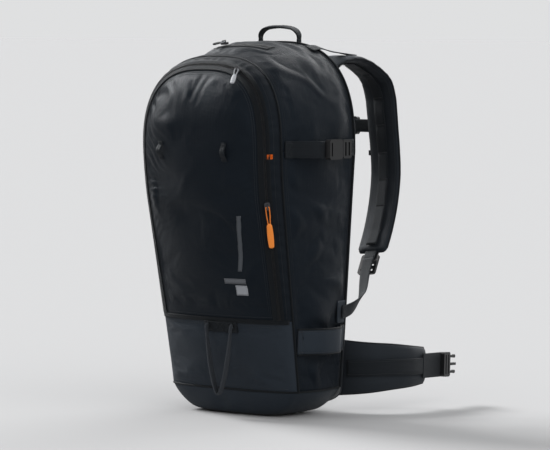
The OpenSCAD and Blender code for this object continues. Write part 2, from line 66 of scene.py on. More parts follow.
def lerp(a, b, t):
    return a + (b - a) * t


def smooth(t, low=0.0, high=1.0):
    t = np.clip((np.asarray(t, float) - low) / (high - low), 0, 1)
    return t * t * (3 - 2 * t)


def front_half(z):
    return lerp(FRONT_LINE[0], FRONT_LINE[1], np.clip((z - BASE_Z) / (CORNER_Z - BASE_Z), 0, 1))


SEAM_LINE = (float(front_half(FLAP_Z)), FRONT_LINE[1], FLAP_Z, CORNER_Z, FRONT_Z)
ZIP_LINE = (SEAM_LINE[0] - INSET, FRONT_LINE[1] - INSET, FLAP_Z, CORNER_Z, FRONT_Z - INSET)


def outline(o, u):
    """Points (x, z) of a tombstone outline, from its lower right (u 0) over the top to its lower left."""
    u = np.asarray(u, float)
    m = np.minimum(u, 1 - u)
    side = np.where(u <= 0.5, 1.0, -1.0)
    k = np.clip(m / SHARE, 0, 1)
    a = np.radians(180 * np.clip((m - SHARE) / (1 - 2 * SHARE), 0, 0.5))
    x = np.where(m < SHARE, lerp(o[0], o[1], k), o[1] * np.abs(np.cos(a)) ** ARCH)
    z = np.where(m < SHARE, lerp(o[2], o[3], k), o[3] + (o[4] - o[3]) * np.sin(a) ** ARCH)
    return side * np.where(m >= 0.5 - 1e-9, 0, x), z


def outward(u):
    u = np.asarray(u, float)
    a = np.radians(180 * np.clip((u - SHARE) / (1 - 2 * SHARE), 0, 1))
    return np.cos(a), np.sin(a)


def seam_depth(z):
    rise = lerp(SEAM_LOW, SEAM_HIGH, (z - BASE_Z) / (FULL_Z - BASE_Z))
    return rise - SEAM_DROP * np.clip((z - FULL_Z) / (FRONT_Z - FULL_Z), 0, 1) ** 2


def front(x, z):
    """Points of the front face over x and z."""
    x, z = np.broadcast_arrays(np.asarray(x, float), np.asarray(z, float))
    top = np.clip((z - CORNER_Z) / (FRONT_Z - CORNER_Z), 0, 1)
    inside = 1 - (np.abs(x) / front_half(z)) ** (2 / ARCH) - top ** (2 / ARCH)
    crown = lerp(CROWN_LOW, CROWN_HIGH, np.clip((z - BASE_Z) / (FULL_Z - BASE_Z), 0, 1))
    y = BACK_Y - seam_depth(z) - crown * np.sqrt(np.maximum(0, inside))
    return np.stack([x, y, z], -1)


def gusset(u, t):
    """Points of the band between the front seam (t 0) and the back panel (t 1)."""
    u, t = np.broadcast_arrays(np.asarray(u, float), np.asarray(t, float))
    fx, fz = outline(FRONT_LINE, u)
    bx, bz = outline(BACK_LINE, u)
    nx, nz = outward(u)
    swell = SWELL * 4 * t * (1 - t)
    y = lerp(BACK_Y - seam_depth(fz), INNER_Y, t)
    return np.stack([lerp(fx, bx, t) + nx * swell, y, lerp(fz, bz, t) + nz * swell], -1)


def collar(u, t):
    """Points of the narrow border between the zip (t 0) and the front seam (t 1)."""
    u, t = np.broadcast_arrays(np.asarray(u, float), np.asarray(t, float))
    zx, zz = outline(ZIP_LINE, u)
    sx, sz = outline(SEAM_LINE, u)
    k = 1 - (1 - t) ** 2
    return front(lerp(zx, sx, k), lerp(zz, sz, k))


def even(line, n, low=0.0, high=1.0):
    """n + 1 values of u between low and high, spaced evenly along an outline."""
    u = np.linspace(low, high, 4001)
    x, z = outline(line, u)
    s = np.concatenate([[0], np.cumsum(np.hypot(np.diff(x), np.diff(z)))])
    return np.interp(np.linspace(0, s[-1], n + 1), s, u)


def curve(points, steps):
    """Smooth curve through a few points, the same one as in the CAD part."""
    p = np.array(points, float)
    out = []
    for i in range(len(p) - 1):
        a, b, c, d = p[max(0, i - 1)], p[i], p[i + 1], p[min(len(p) - 1, i + 2)]
        for t in np.arange(steps) / steps:
            out.append(
                b + 0.5 * t * (c - a) + t * t * (a - 2.5 * b + 2 * c - 0.5 * d)
                + t**3 * (-0.5 * a + 1.5 * b - 1.5 * c + 0.5 * d)
            )
    return np.array(out + [p[-1]])


def distances(path):
    """Distance of each point of a path from its start, measured along it."""
    return np.concatenate([[0], np.cumsum(np.linalg.norm(np.diff(path, axis=0), axis=1))])


def read_along(at, s, values):
    """Points or directions known at the distances s, read at other distances."""
    return np.stack([np.interp(at, s, values[:, k]) for k in range(3)], -1)


def respace(path, step):
    """The same path with points a given distance apart."""
    path = np.asarray(path, float)
    s = distances(path)
    return read_along(np.linspace(0, s[-1], max(2, int(round(s[-1] / step)) + 1)), s, path)


def unit(v):
    v = np.asarray(v, float)
    return v / np.maximum(np.linalg.norm(v, axis=-1, keepdims=True), 1e-12)


# ---------------------------------------------------------------- materials
def new_material(name, color, roughness, metallic=0.0, sheen=0.0, gloss=0.5):
    m = bpy.data.materials.new(name)
    m.use_nodes = True
    b = m.node_tree.nodes["Principled BSDF"]
    b.inputs["Base Color"].default_value = (*color, 1)
    b.inputs["Roughness"].default_value = roughness
    b.inputs["Metallic"].default_value = metallic
    b.inputs["Sheen Weight"].default_value = sheen
    b.inputs["Sheen Roughness"].default_value = 0.4
    b.inputs["Specular IOR Level"].default_value = gloss
    b.inputs["Specular Tint"].default_value = (0.72, 0.86, 1, 1) if gloss < 0.15 else (1, 1, 1, 1)
    return m


class Graph:
    """Short hand for joining a material's nodes."""

    def __init__(self, material):
        self.tree = material.node_tree
        self.shader = self.tree.nodes["Principled BSDF"]

    def add(self, kind, **inputs):
        n = self.tree.nodes.new(kind)
        for k, v in inputs.items():
            self.plug(v, n.inputs[k.replace("_", " ")])
        return n

    def plug(self, value, socket):
        if isinstance(value, bpy.types.NodeSocket):
            self.tree.links.new(value, socket)
        else:
            socket.default_value = value

    def math(self, op, a, b=0.0):
        n = self.tree.nodes.new("ShaderNodeMath")
        n.operation = op
        self.plug(a, n.inputs[0])
        self.plug(b, n.inputs[1])
        return n.outputs[0]

    def uv(self):
        n = self.tree.nodes.new("ShaderNodeSeparateXYZ")
        t = self.tree.nodes.new("ShaderNodeTexCoord")
        self.tree.links.new(t.outputs["UV"], n.inputs[0])
        return n.outputs[0], n.outputs[1]

    def place(self):
        return self.add("ShaderNodeTexCoord").outputs["Object"]

    def noise(self, scale, detail=3.0, rough=0.5):
        n = self.add("ShaderNodeTexNoise", Vector=self.place(), Scale=scale, Detail=detail, Roughness=rough)
        return n.outputs["Fac"]

    def wave(self, coordinate, pitch_mm):
        """Sine over a UV coordinate, which is in decimetres, with this pitch."""
        return self.math("SINE", self.math("MULTIPLY", coordinate, 2 * math.pi * 100 / pitch_mm))

    def mix(self, share, a, b):
        n = self.tree.nodes.new("ShaderNodeMix")
        n.data_type = "RGBA"
        self.plug(share, n.inputs[0])
        self.plug(a, n.inputs[6])
        self.plug(b, n.inputs[7])
        return n.outputs[2]

    def ramp(self, value, low, high):
        n = self.add("ShaderNodeMapRange", Value=value)
        n.inputs["To Min"].default_value = low
        n.inputs["To Max"].default_value = high
        return n.outputs[0]

    def bump(self, height, distance_mm, strength=1.0, under=None):
        n = self.add("ShaderNodeBump", Height=height, Strength=strength, Distance=distance_mm * MM)
        if under is not None:
            self.tree.links.new(under, n.inputs["Normal"])
        return n.outputs[0]


def cloth_material(name, color, roughness, pitch, weave, grid=0.0, spread=0.18, gloss=0.12):
    """Woven fabric: fine plain weave, a faint ripstop grid, and slow changes of shade and gloss."""
    m = new_material(name, color, roughness, sheen=0.03, gloss=gloss)
    g = Graph(m)
    u, v = g.uv()
    fine = g.math("MULTIPLY", g.wave(u, pitch), g.wave(v, pitch))
    cloud = g.noise(14.0, 4.0, 0.6)
    dark = tuple(c * (1 - spread) for c in color) + (1,)
    light = tuple(min(1, c * (1 + spread) + 0.0006) for c in color) + (1,)
    shade = g.mix(cloud, dark, light)
    if grid:
        line = g.math("MAXIMUM", g.wave(u, grid), g.wave(v, grid))
        line = g.math("POWER", g.math("MAXIMUM", line, 0.0), 24.0)
        shade = g.mix(g.math("MULTIPLY", line, 0.35), shade, light)
        fine = g.math("ADD", fine, g.math("MULTIPLY", line, 1.5))
    g.plug(shade, g.shader.inputs["Base Color"])
    g.plug(g.ramp(g.noise(22.0, 3.0), roughness - 0.08, roughness + 0.08), g.shader.inputs["Roughness"])
    soft = g.bump(g.noise(90.0, 4.0, 0.55), 0.5, 0.35)
    g.plug(g.bump(fine, weave, 0.6, soft), g.shader.inputs["Normal"])
    return m


def webbing_material(name, color, pitch=1.6, rows=1.9):
    """Woven webbing: ribs across it, broken into columns along it."""
    m = new_material(name, color, 0.6, sheen=0.04, gloss=0.12)
    g = Graph(m)
    u, v = g.uv()
    shift = g.math("MULTIPLY", g.wave(u, rows * 2), 0.0035)
    rib = g.wave(g.math("ADD", v, shift), pitch)
    column = g.wave(u, rows)
    height = g.math("ADD", rib, g.math("MULTIPLY", column, 0.6))
    light = tuple(c * 1.5 + 0.002 for c in color) + (1,)
    g.plug(g.mix(g.ramp(height, 0.1, 0.9), tuple(c * 0.75 for c in color) + (1,), light),
           g.shader.inputs["Base Color"])
    g.plug(g.bump(height, 0.25, 0.7), g.shader.inputs["Normal"])
    return m


def mesh_material(name, color):
    """Spacer mesh: a net of small round holes."""
    m = new_material(name, color, 0.75, sheen=0.04, gloss=0.1)
    g = Graph(m)
    u, v = g.uv()
    hole = g.math("ABSOLUTE", g.math("MULTIPLY", g.wave(u, 3.4), g.wave(v, 3.4 * 1.3)))
    light = tuple(c * 2.2 + 0.004 for c in color) + (1,)
    g.plug(g.mix(g.math("SUBTRACT", 1.0, hole), color + (1,), light), g.shader.inputs["Base Color"])
    g.plug(g.bump(g.math("SUBTRACT", 1.0, hole), 0.7, 0.9), g.shader.inputs["Normal"])
    return m


def plastic_material(name, color, roughness, metallic=0.0):
    m = new_material(name, color, roughness, metallic, gloss=0.3)
    g = Graph(m)
    g.plug(g.ramp(g.noise(60.0, 3.0), roughness - 0.06, roughness + 0.1), g.shader.inputs["Roughness"])
    g.plug(g.bump(g.noise(900.0, 2.0), 0.05, 0.35), g.shader.inputs["Normal"])
    return m


FABRIC = cloth_material("body_fabric", (0.0048, 0.0068, 0.0098), 0.38, 0.9, 0.10, grid=5.5, gloss=0.07)
TOUGH = cloth_material("base_fabric", (0.0170, 0.0215, 0.0280), 0.55, 1.7, 0.30)
BORDER = cloth_material("border_fabric", (0.0042, 0.0056, 0.0078), 0.45, 0.9, 0.10, gloss=0.08)
STRAP_FACE = cloth_material("strap_fabric", (0.0130, 0.0150, 0.0180), 0.6, 1.0, 0.12)
LINING = cloth_material("lining", (0.16, 0.165, 0.17), 0.7, 1.0, 0.08)
INNER = cloth_material("inner_sleeve", (0.62, 0.20, 0.02), 0.6, 1.0, 0.08)
POCKET = cloth_material("pocket_fabric", (0.05, 0.052, 0.055), 0.7, 1.0, 0.08)
WEB = webbing_material("webbing", (0.0080, 0.0090, 0.0105))
# Lighter copy of the webbing for the ice-axe loop: a painted highlight of light catching the loop
HIGHLIGHT_WEB = webbing_material("axe_loop_webbing", (0.0300, 0.0330, 0.0380))
BIND = webbing_material("binding", (0.0050, 0.0055, 0.0062), 1.1, 1.3)
SPACER = mesh_material("spacer_mesh", (0.016, 0.018, 0.021))
TAPE = webbing_material("zip_tape", (0.0048, 0.0052, 0.006), 0.8, 0.9)
COIL = plastic_material("zip_coil", (0.010, 0.0105, 0.0115), 0.35)
THREAD = new_material("thread", (0.022, 0.024, 0.027), 0.6, sheen=0.05, gloss=0.2)
ACCENT_THREAD = new_material("accent_thread", (0.80, 0.15, 0.012), 0.55, gloss=0.2)
ORANGE = cloth_material("orange_cord", (0.62, 0.16, 0.016), 0.55, 1.2, 0.2, spread=0.1, gloss=0.3)
ORANGE_GRIP = plastic_material("orange_grip", (0.66, 0.19, 0.022), 0.42)
GREY = cloth_material("grey_cord", (0.26, 0.27, 0.29), 0.55, 1.2, 0.2, spread=0.1, gloss=0.3)
GREY_GRIP = plastic_material("grey_grip", (0.30, 0.31, 0.33), 0.45)
REFLECT = plastic_material("reflective", (0.24, 0.25, 0.27), 0.40, 0.2)
DIM = plastic_material("reflective_dim", (0.085, 0.09, 0.10), 0.42, 0.2)
BAR = plastic_material("reflective_bar", (0.050, 0.056, 0.064), 0.42, 0.2)
PLASTIC = plastic_material("buckle_plastic", (0.0075, 0.0078, 0.0085), 0.36)
METAL = plastic_material("zip_metal", (0.05, 0.05, 0.054), 0.3, 0.8)
ALLOY = plastic_material("stay_alloy", (0.55, 0.56, 0.58), 0.35, 0.95)
SHEET = plastic_material("sheet_plastic", (0.62, 0.63, 0.64), 0.45)


# ---------------------------------------------------------------- meshes
def make_object(name, verts, faces, materials, uvs, slots=None):
    """Object of these faces. UVs are given in millimetres, for each vertex or for each face corner."""
    me = bpy.data.meshes.new(name)
    me.from_pydata([tuple(v) for v in verts * MM], [], [tuple(int(i) for i in f) for f in faces])
    for m in materials if isinstance(materials, (list, tuple)) else [materials]:
        me.materials.append(m)
    if len(uvs) != len(me.loops):
        loops = np.zeros(len(me.loops), int)
        me.loops.foreach_get("vertex_index", loops)
        uvs = uvs[loops]
    layer = me.uv_layers.new(name="UVMap")
    layer.data.foreach_set("uv", (uvs / 100).astype(np.float32).ravel())
    if slots is not None:
        me.polygons.foreach_set("material_index", np.asarray(slots, np.int32))
    me.polygons.foreach_set("use_smooth", np.ones(len(me.polygons), bool))
    me.update()
    o = bpy.data.objects.new(name, me)
    scene.collection.objects.link(o)
    return o


def run_lengths(p, axis):
    """Mean distances of a grid's points along one of its axes."""
    d = np.linalg.norm(np.diff(p, axis=axis), axis=-1).mean(axis=1 - axis)
    return np.concatenate([[0], np.cumsum(d)])


def grid_faces(nu, nv, flip=False, wrap=False):
    i = np.arange(nu * nv).reshape(nu, nv)
    if wrap:
        i = np.concatenate([i, i[:, :1]], 1)
    f = np.stack([i[:-1, :-1], i[1:, :-1], i[1:, 1:], i[:-1, 1:]], -1).reshape(-1, 4)
    return f[:, ::-1] if flip else f


def grid_uv(p):
    return np.stack(np.meshgrid(run_lengths(p, 0), run_lengths(p, 1), indexing="ij"), -1).reshape(-1, 2)


def rim_of(grid):
    """The outer entries of a grid, in order round it."""
    return np.concatenate([grid[:, 0], grid[-1, 1:], grid[-2::-1, -1], grid[0, -2:0:-1]])


def cloth_sheet(name, p, face, flip=False, thick=1.8):
    """Lined cloth through a grid of points, with real thickness behind its face."""
    o = make_object(name, p.reshape(-1, 3), grid_faces(*p.shape[:2], flip), [face, LINING], grid_uv(p))
    m = o.modifiers.new("thickness", "SOLIDIFY")
    m.thickness = thick * MM
    m.offset = -1
    m.material_offset = 1
    return o


def ring_object(name, rings, materials, slot_of=None, flip=False):
    """Closed object through closed rings of points, such as a swept strap."""
    m, n = rings.shape[:2]
    faces = [tuple(f) for f in grid_faces(m, n, flip, wrap=True)]
    sv = run_lengths(rings, 0)
    su = run_lengths(np.concatenate([rings, rings[:, :1]], 1), 1)
    uvs = []
    for i in range(m - 1):
        for j in range(n):
            q = [(su[j], sv[i]), (su[j], sv[i + 1]), (su[j + 1], sv[i + 1]), (su[j + 1], sv[i])]
            uvs.extend(q[::-1] if flip else q)
    slots = [slot_of(j) if slot_of else 0 for _ in range(m - 1) for j in range(n)] + [0, 0]
    for cap in (tuple(range(n)), tuple((m - 1) * n + j for j in range(n - 1, -1, -1))):
        cap = cap[::-1] if flip else cap
        faces.append(cap)
        uvs.extend([(su[k % n], 0.0) for k in cap])
    return make_object(name, rings.reshape(-1, 3), faces, materials, np.array(uvs), slots)


def frames_along(path, across, turns=None):
    """Directions along, across and up at each point of a path, as in the CAD part's bands."""
    along = unit(np.concatenate([path[1:2] - path[:1], path[2:] - path[:-2], path[-1:] - path[-2:-1]]))
    first, last = np.array(across, float), np.array(across if turns is None else turns, float)
    side = np.array([lerp(first, last, i / (len(path) - 1)) for i in range(len(path))])
    wide = unit(side - along * (side * along).sum(-1, keepdims=True))
    return along, wide, np.cross(along, wide)


def rings_of(path, wide, up, sections):
    """Rings of points: one flat section round each point of a path."""
    return np.array([c + w * s[:, :1] + v * s[:, 1:] for c, w, v, s in zip(path, wide, up, sections)])


def web_section(width, thick):
    """Rounded rectangle: flat faces with half-round edges."""
    r = thick / 2
    turn = np.radians(np.linspace(-90, 90, 5))
    right = [(width / 2 - r + r * math.cos(a), r * math.sin(a)) for a in turn]
    top = [(x, r) for x in np.linspace(width / 2 - r, r - width / 2, 5)[1:-1]]
    return np.array(right + top + [(-x, -y) for x, y in right] + [(-x, -y) for x, y in top])


def sweep(path, widths, thick, across, turns=None):
    """Rings of a band along a path; several widths are spread evenly over it."""
    _, wide, up = frames_along(path, across, turns)
    widths = np.atleast_1d(widths).astype(float)
    w = np.interp(np.linspace(0, 1, len(path)), np.linspace(0, 1, len(widths)), widths)
    return rings_of(path, wide, up, [web_section(k, thick) for k in w])


def pad_section(width, thick, n, edge=3.2):
    """Padded strap's cross-section: nearly flat faces that round off into thin bound edges."""
    a = np.linspace(0, 360, n, endpoint=False)
    c, s = np.cos(np.radians(a)), np.sin(np.radians(a))
    x = np.sign(c) * np.abs(c) ** (2 / edge) * width / 2
    y = np.sign(s) * np.abs(s) ** (2 / 2.4) * thick / 2
    return np.stack([x, y], -1)


def tube(name, path, radius, material, sides=8, step=None):
    """Round piece along a path; without a step it keeps the path's own points."""
    path = respace(path, step) if step else path
    d = unit(np.gradient(path, axis=0))
    ref = np.array([0.3, 0.2, 0.93]) if abs(d[0][2]) < 0.8 else np.array([0.93, 0.3, 0.2])
    n = unit(ref - d[0] * (ref @ d[0]))
    rings = []
    a = np.linspace(0, 2 * math.pi, sides, endpoint=False)
    for c, ahead in zip(path, d):
        n = unit(n - ahead * (n @ ahead))
        b = np.cross(ahead, n)
        rings.append(c + radius * (np.cos(a)[:, None] * n + np.sin(a)[:, None] * b))
    return ring_object(name, np.array(rings), material)


def mirrored(o, name):
    """Copy of an object on the other side of the body."""
    me = o.data.copy()
    co = np.zeros(len(me.vertices) * 3, np.float32)
    me.vertices.foreach_get("co", co)
    co[::3] *= -1
    me.vertices.foreach_set("co", co)
    me.flip_normals()
    me.name = name
    c = bpy.data.objects.new(name, me)
    scene.collection.objects.link(c)
    return c


def pair(o):
    """A right-hand piece and its mirror image, each with its side's name and sign."""
    return (o, "right", 1), (mirrored(o, o.name.removesuffix("right") + "left"), "left", -1)


def mend(o):
    """Faces turned outwards on a closed piece."""
    b = bmesh.new()
    b.from_mesh(o.data)
    bmesh.ops.recalc_face_normals(b, faces=b.faces)
    b.to_mesh(o.data)
    b.free()
    return o


def describe(nodes):
    """Hides the CAD nodes that a piece stands for."""
    if nodes:
        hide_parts(*nodes)


def attach(o, body, slot, *nodes):
    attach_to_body(o, body)
    describe(nodes)


def both(o, slot, *nodes, body=None):
    """Puts a right-hand piece and its mirror image on the pack, or each on its own side's body."""
    for piece, side_name, _ in pair(o):
        on = body + "_" + side_name if body else "pack"
        attach(piece, on, slot, *(n + "_" + side_name for n in nodes))


def bend_attach(o, nodes):
    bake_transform(o)
    describe(nodes)


def flap_attach(o, slot, *nodes):
    """Bakes a piece of the front flap in place and hides the CAD nodes it stands for."""
    bend_attach(o, nodes)


def join(name, objects):
    """One object out of several that share materials in order of appearance."""
    mats, verts, faces, slots, uvs = [], [], [], [], []
    base = 0
    for o in objects:
        me = o.data
        v = np.zeros(len(me.vertices) * 3)
        me.vertices.foreach_get("co", v)
        verts.append(v.reshape(-1, 3) / MM)
        mats += [m for m in me.materials if m not in mats]
        for p in me.polygons:
            faces.append([i + base for i in p.vertices])
            slots.append(mats.index(me.materials[p.material_index]))
        w = np.zeros(len(me.loops) * 2)
        me.uv_layers.active.data.foreach_get("uv", w)
        uvs.append(w.reshape(-1, 2) * 100)
        base += len(me.vertices)
        bpy.data.objects.remove(o)
    return make_object(name, np.concatenate(verts), faces, mats, np.concatenate(uvs), slots)


# ---------------------------------------------------------------- cloth
def weigh(o, name, values):
    """Vertex group with these values, rounded to hundredths."""
    group = o.vertex_groups.new(name=name)
    values = np.round(values.ravel(), 2)
    for w in np.unique(values):
        group.add([int(i) for i in np.flatnonzero(values == w)], float(w), "REPLACE")


def drape(p, pin, pressure, frames, limit, excess=None, flip=False):
    """Lets a grid of points settle as cloth that is held where pin is 1, and returns the points."""
    stiff = 12.0
    o = make_object("settling", p.reshape(-1, 3), grid_faces(*p.shape[:2], flip), [], grid_uv(p))
    weigh(o, "pin", pin)
    c = o.modifiers.new("settle", "CLOTH")
    s = c.settings
    s.quality = 5
    s.mass = 0.0003
    s.air_damping = 4
    s.tension_stiffness = s.compression_stiffness = stiff
    s.shear_stiffness = stiff * 0.4
    s.bending_stiffness = 0.6
    s.tension_damping = s.compression_damping = 15
    s.vertex_group_mass = "pin"
    s.pin_stiffness = 1
    s.use_pressure = True
    s.uniform_pressure_force = pressure
    s.effector_weights.gravity = 0
    s.shrink_min = -0.006
    if excess is not None:
        weigh(o, "more", np.clip(excess, 0, 1))
        s.vertex_group_shrink = "more"
        s.shrink_max = -0.035
    c.collision_settings.use_collision = False
    scene.frame_start, scene.frame_end = 1, frames
    c.point_cache.frame_end = frames
    for f in range(1, frames + 1):
        scene.frame_set(f)
    me = o.evaluated_get(bpy.context.evaluated_depsgraph_get()).to_mesh()
    v = np.zeros(len(me.vertices) * 3)
    me.vertices.foreach_get("co", v)
    move = v.reshape(p.shape) / MM - p
    bpy.data.objects.remove(o)
    scene.frame_set(1)
    far = np.linalg.norm(move, axis=-1, keepdims=True)
    print("settled: moved at most %.1f mm, on average %.2f mm" % (far.max(), far.mean()))
    return p + move * np.minimum(1, limit / np.maximum(far, 1e-6))


def normals_of(p, flip=False):
    n = unit(np.cross(np.gradient(p, axis=0), np.gradient(p, axis=1)))
    return -n if flip else n


def tree_of(p, flip=False):
    """Search tree over a grid of points, for laying trim on cloth."""
    faces = [tuple(int(i) for i in f) for f in grid_faces(*p.shape[:2], flip)]
    return BVHTree.FromPolygons([Vector(v) for v in p.reshape(-1, 3)], faces)


def lay(points, tree, lift):
    """Points moved onto the surface in a search tree, then lifted off it, with the normals there."""
    out, normals = [], []
    for q in np.asarray(points, float):
        place, normal, _, _ = tree.find_nearest(Vector(q))
        out.append(np.array(place) + np.array(normal) * lift)
        normals.append(np.array(normal))
    return np.array(out), np.array(normals)


def cast(tree, x, z, lift):
    """Points of a surface seen from the front at x and z, lifted off it, and their normals."""
    x, z = np.broadcast_arrays(np.asarray(x, float), np.asarray(z, float))
    out, normals = [], []
    for a, b in zip(x.ravel(), z.ravel()):
        place, normal, _, _ = tree.ray_cast(Vector((a, -400.0, b)), Vector((0, 1, 0)))
        if place is None:
            place, normal, _, _ = tree.find_nearest(Vector((a, 0, b)))
        n = np.array(normal)
        n = n if n[1] < 0 else -n
        out.append(np.array(place) + n * lift)
        normals.append(n)
    return tuple(np.array(v).reshape(x.shape + (3,)) for v in (out, normals))


# A stitch is a small raised grain: its corners along, across and above the row, and its faces
GRAIN = ((-1, 0, -0.3), (-0.55, 1, 0), (0.55, 1, 0), (1, 0, -0.3), (0.55, -1, 0), (-0.55, -1, 0),
         (-0.4, 0, 1), (0.4, 0, 1))
GRAIN_FACES = ((0, 6, 1), (1, 6, 7, 2), (2, 7, 3), (3, 7, 4), (4, 7, 6, 5), (5, 6, 0), (0, 1, 2, 3, 4, 5))


def stitches(name, rows, material=None, pitch=3.4, length=2.5, width=0.55, height=0.5):
    """Rows of stitches, each along a line of points with its normals, as one object."""
    verts = []
    for points, normals in rows:
        s = distances(points)
        at = np.arange(pitch / 2, s[-1], pitch)
        c = read_along(at, s, points)
        n = unit(read_along(at, s, normals))
        d = unit(read_along(at + 0.5, s, points) - read_along(at - 0.5, s, points))
        b = np.cross(n, d)
        grains = [c + d * (x * length / 2) + b * (y * width / 2) + n * (z * height) for x, y, z in GRAIN]
        verts.append(np.stack(grains, 1).reshape(-1, 3))
    verts = np.concatenate(verts)
    faces = [tuple(i + k for i in f) for k in range(0, len(verts), len(GRAIN)) for f in GRAIN_FACES]
    return make_object(name, verts, faces, material or THREAD, verts[:, [0, 2]])


# ---------------------------------------------------------------- flat pieces and trim
def slab(name, top, bottom, materials, flip=False, slots=(0, 0, 0)):
    """Closed piece between two equal grids of points: its top, bottom and rim have their own slots."""
    nu, nv = top.shape[:2]
    n = nu * nv
    loop = rim_of(np.arange(n).reshape(nu, nv))
    after = np.roll(loop, -1)
    rim = np.stack([loop, loop + n, after + n, after], -1)
    if flip:
        rim = rim[:, ::-1]
    upper, lower = grid_faces(nu, nv, flip), grid_faces(nu, nv, not flip) + n
    which = [slots[0]] * len(upper) + [slots[1]] * len(lower) + [slots[2]] * len(rim)
    verts = np.concatenate([top.reshape(-1, 3), bottom.reshape(-1, 3)])
    uv = np.tile(grid_uv(top), (2, 1))
    return make_object(name, verts, np.concatenate([upper, lower, rim]), materials, uv, which)


def ribbon(name, points, normals, width, material, thick, lift):
    """Flat strip laid along a path on a surface, as a closed piece."""
    side = unit(np.cross(normals, unit(np.gradient(points, axis=0))))
    flat = points[:, None] + side[:, None] * (np.linspace(-0.5, 0.5, 5) * width)[None, :, None]
    return slab(name, flat + normals[:, None] * (lift + thick), flat + normals[:, None] * lift, material)


def coil(name, points, normals, side):
    """One half of a coil zip: a wire wound beside the line where the two halves meet."""
    pitch, radius, wire = 2.5, 1.05, 0.42
    s = distances(points)
    at = np.arange(0, s[-1], pitch / 8)
    c = read_along(at, s, points)
    n = unit(read_along(at, s, normals))
    b = np.cross(n, unit(np.gradient(c, axis=0))) * side
    a = 2 * math.pi * at / pitch + (0 if side > 0 else math.pi)
    turn = b * (radius * np.cos(a))[:, None] + n * (0.75 * radius * np.sin(a))[:, None]
    return tube(name, c + b * 1.15 + n * 0.9 + turn, wire, COIL, sides=5)


def strap(name, path, widths, thick, across, material, turns=None, step=3.0):
    """Webbing swept along a path, with rounded edges; a step of None keeps the path's own points."""
    path = respace(path, step) if step else path
    return ring_object(name, sweep(path, widths, thick, across, turns), material)


def seam(a, b, normal, step=2.0):
    """Straight stitch line between two points, with its normals."""
    line = respace(np.array([a, b], float), step)
    return line, np.repeat(np.asarray(normal, float)[None], len(line), 0)


def bar_tack(centre, along, across, normal, length, rows, gap=0.9):
    """Stitch lines of the dense zigzag that anchors a strap's end."""
    out = []
    for k in range(rows):
        c = centre + across * (k - (rows - 1) / 2) * gap
        out.append(seam(c - along * length / 2, c + along * length / 2, normal, 1.0))
    return out


def box_stitch(corners, normal, cross=True):
    """Stitch lines round a strap end's four corners, with the usual X."""
    runs = [(0, 1), (1, 2), (2, 3), (3, 0)] + ([(0, 2), (1, 3)] if cross else [])
    return [seam(corners[a], corners[b], normal) for a, b in runs]


def pad_face(cx, cz, half_w, half_h, corner, high, edge, soft, step=3.2):
    """Grid over a rounded rectangle in the XZ plane, with its height and its distance from the edge."""
    def spread(half):
        n = int(round(2 * half / step)) + 1
        return np.sin(np.linspace(-math.pi / 2, math.pi / 2, n)) * 0.35 + np.linspace(-1, 1, n) * 0.65

    inx, inz = half_w - corner, half_h - corner
    z = spread(half_h) * half_h
    over = np.maximum(0, np.abs(z) - inz)
    x = spread(half_w)[:, None] * (inx + np.sqrt(np.maximum(0, corner**2 - over**2)))[None, :]
    z = np.broadcast_to(z[None, :], x.shape)
    out = np.hypot(np.maximum(0, np.abs(x) - inx), np.maximum(0, np.abs(z) - inz))
    straight = np.minimum(half_w - np.abs(x), half_h - np.abs(z))
    d = np.maximum(np.where((np.abs(x) > inx) & (np.abs(z) > inz), corner - out, straight), 0)
    rise = edge + (high - edge) * np.sqrt(1 - (1 - np.clip(d / soft, 0, 1)) ** 2)
    return x + cx, z + cz, rise, d


def cushion(name, binding, node, cx, cz, half_w, half_h, corner, high, grooves, upright=()):
    """Foam pad on the back, sewn down along its edge and its channels, with a binding round it."""
    plane, channel_half, channel_depth = 70.4, 3.6, 4.5
    x, z, rise, d = pad_face(cx, cz, half_w, half_h, corner, high * 0.9, 4.0, 13.0)
    channel = np.zeros_like(x)
    for line, middle in [(z, g) for g in grooves] + [(x, g) for g in upright]:
        channel = np.maximum(channel, np.exp(-(((line - middle) / channel_half) ** 2)))
    rise = rise - channel_depth * channel * smooth(d, 0, 8)
    pin = np.maximum(1 - smooth(d, 2.5, 6), smooth(channel, 0.55, 0.95))
    top = drape(np.stack([x, plane + rise, z], -1), pin, 2.2, frames=14, flip=True, limit=3.0)
    o = slab(name, top, np.stack([x, np.full_like(x, plane), z], -1), SPACER, flip=True)
    attach(o, "pack", "spacer_mesh", node)
    edge = rim_of(top)
    edge = np.concatenate([edge, edge[:1]]) - np.array([0, 0.8, 0])
    attach(tube(binding, edge, 1.9, BIND, step=3.0), "pack", "strap_fabric")


# ---------------------------------------------------------------- body panels
rng = np.random.default_rng(11)
TOP_T = 0.42  # where the top pocket's zip lies between the front seam and the back


def cloudy(rng, x, z, size, n=14):
    """Smooth random field of about unit height with features of this size in millimetres."""
    out = 0
    for _ in range(n):
        a, k = rng.uniform(0, math.pi), 2 * math.pi / (size * rng.uniform(0.75, 1.6))
        out = out + np.sin(k * (x * math.cos(a) + z * math.sin(a)) + rng.uniform(0, 2 * math.pi))
    return out / math.sqrt(n / 2)


def tombstone(half_low, half_high, low, corner, top, nq, nr, foot=(1.0, 0.0)):
    """Grid of x and z in a tombstone outline, whose feet may be rounded off over this width and height."""
    q = np.linspace(-1, 1, nq)
    share = 0.4 * q + 0.6 * np.sin(math.pi / 2 * q)
    s = np.abs(share) ** (1 / ARCH)
    high = corner + (top - corner) * np.sqrt(np.maximum(0, 1 - s**2)) ** ARCH
    out = np.maximum(0, np.abs(share) * half_low - (half_low - foot[0])) / foot[0]
    start = low + foot[1] * (1 - np.sqrt(np.maximum(0, 1 - out**2)))
    z = lerp(start[:, None], high[:, None], np.linspace(0, 1, nr)[None, :])
    half = lerp(half_low, half_high, np.clip((z - low) / (corner - low), 0, 1))
    return half * share[:, None], z


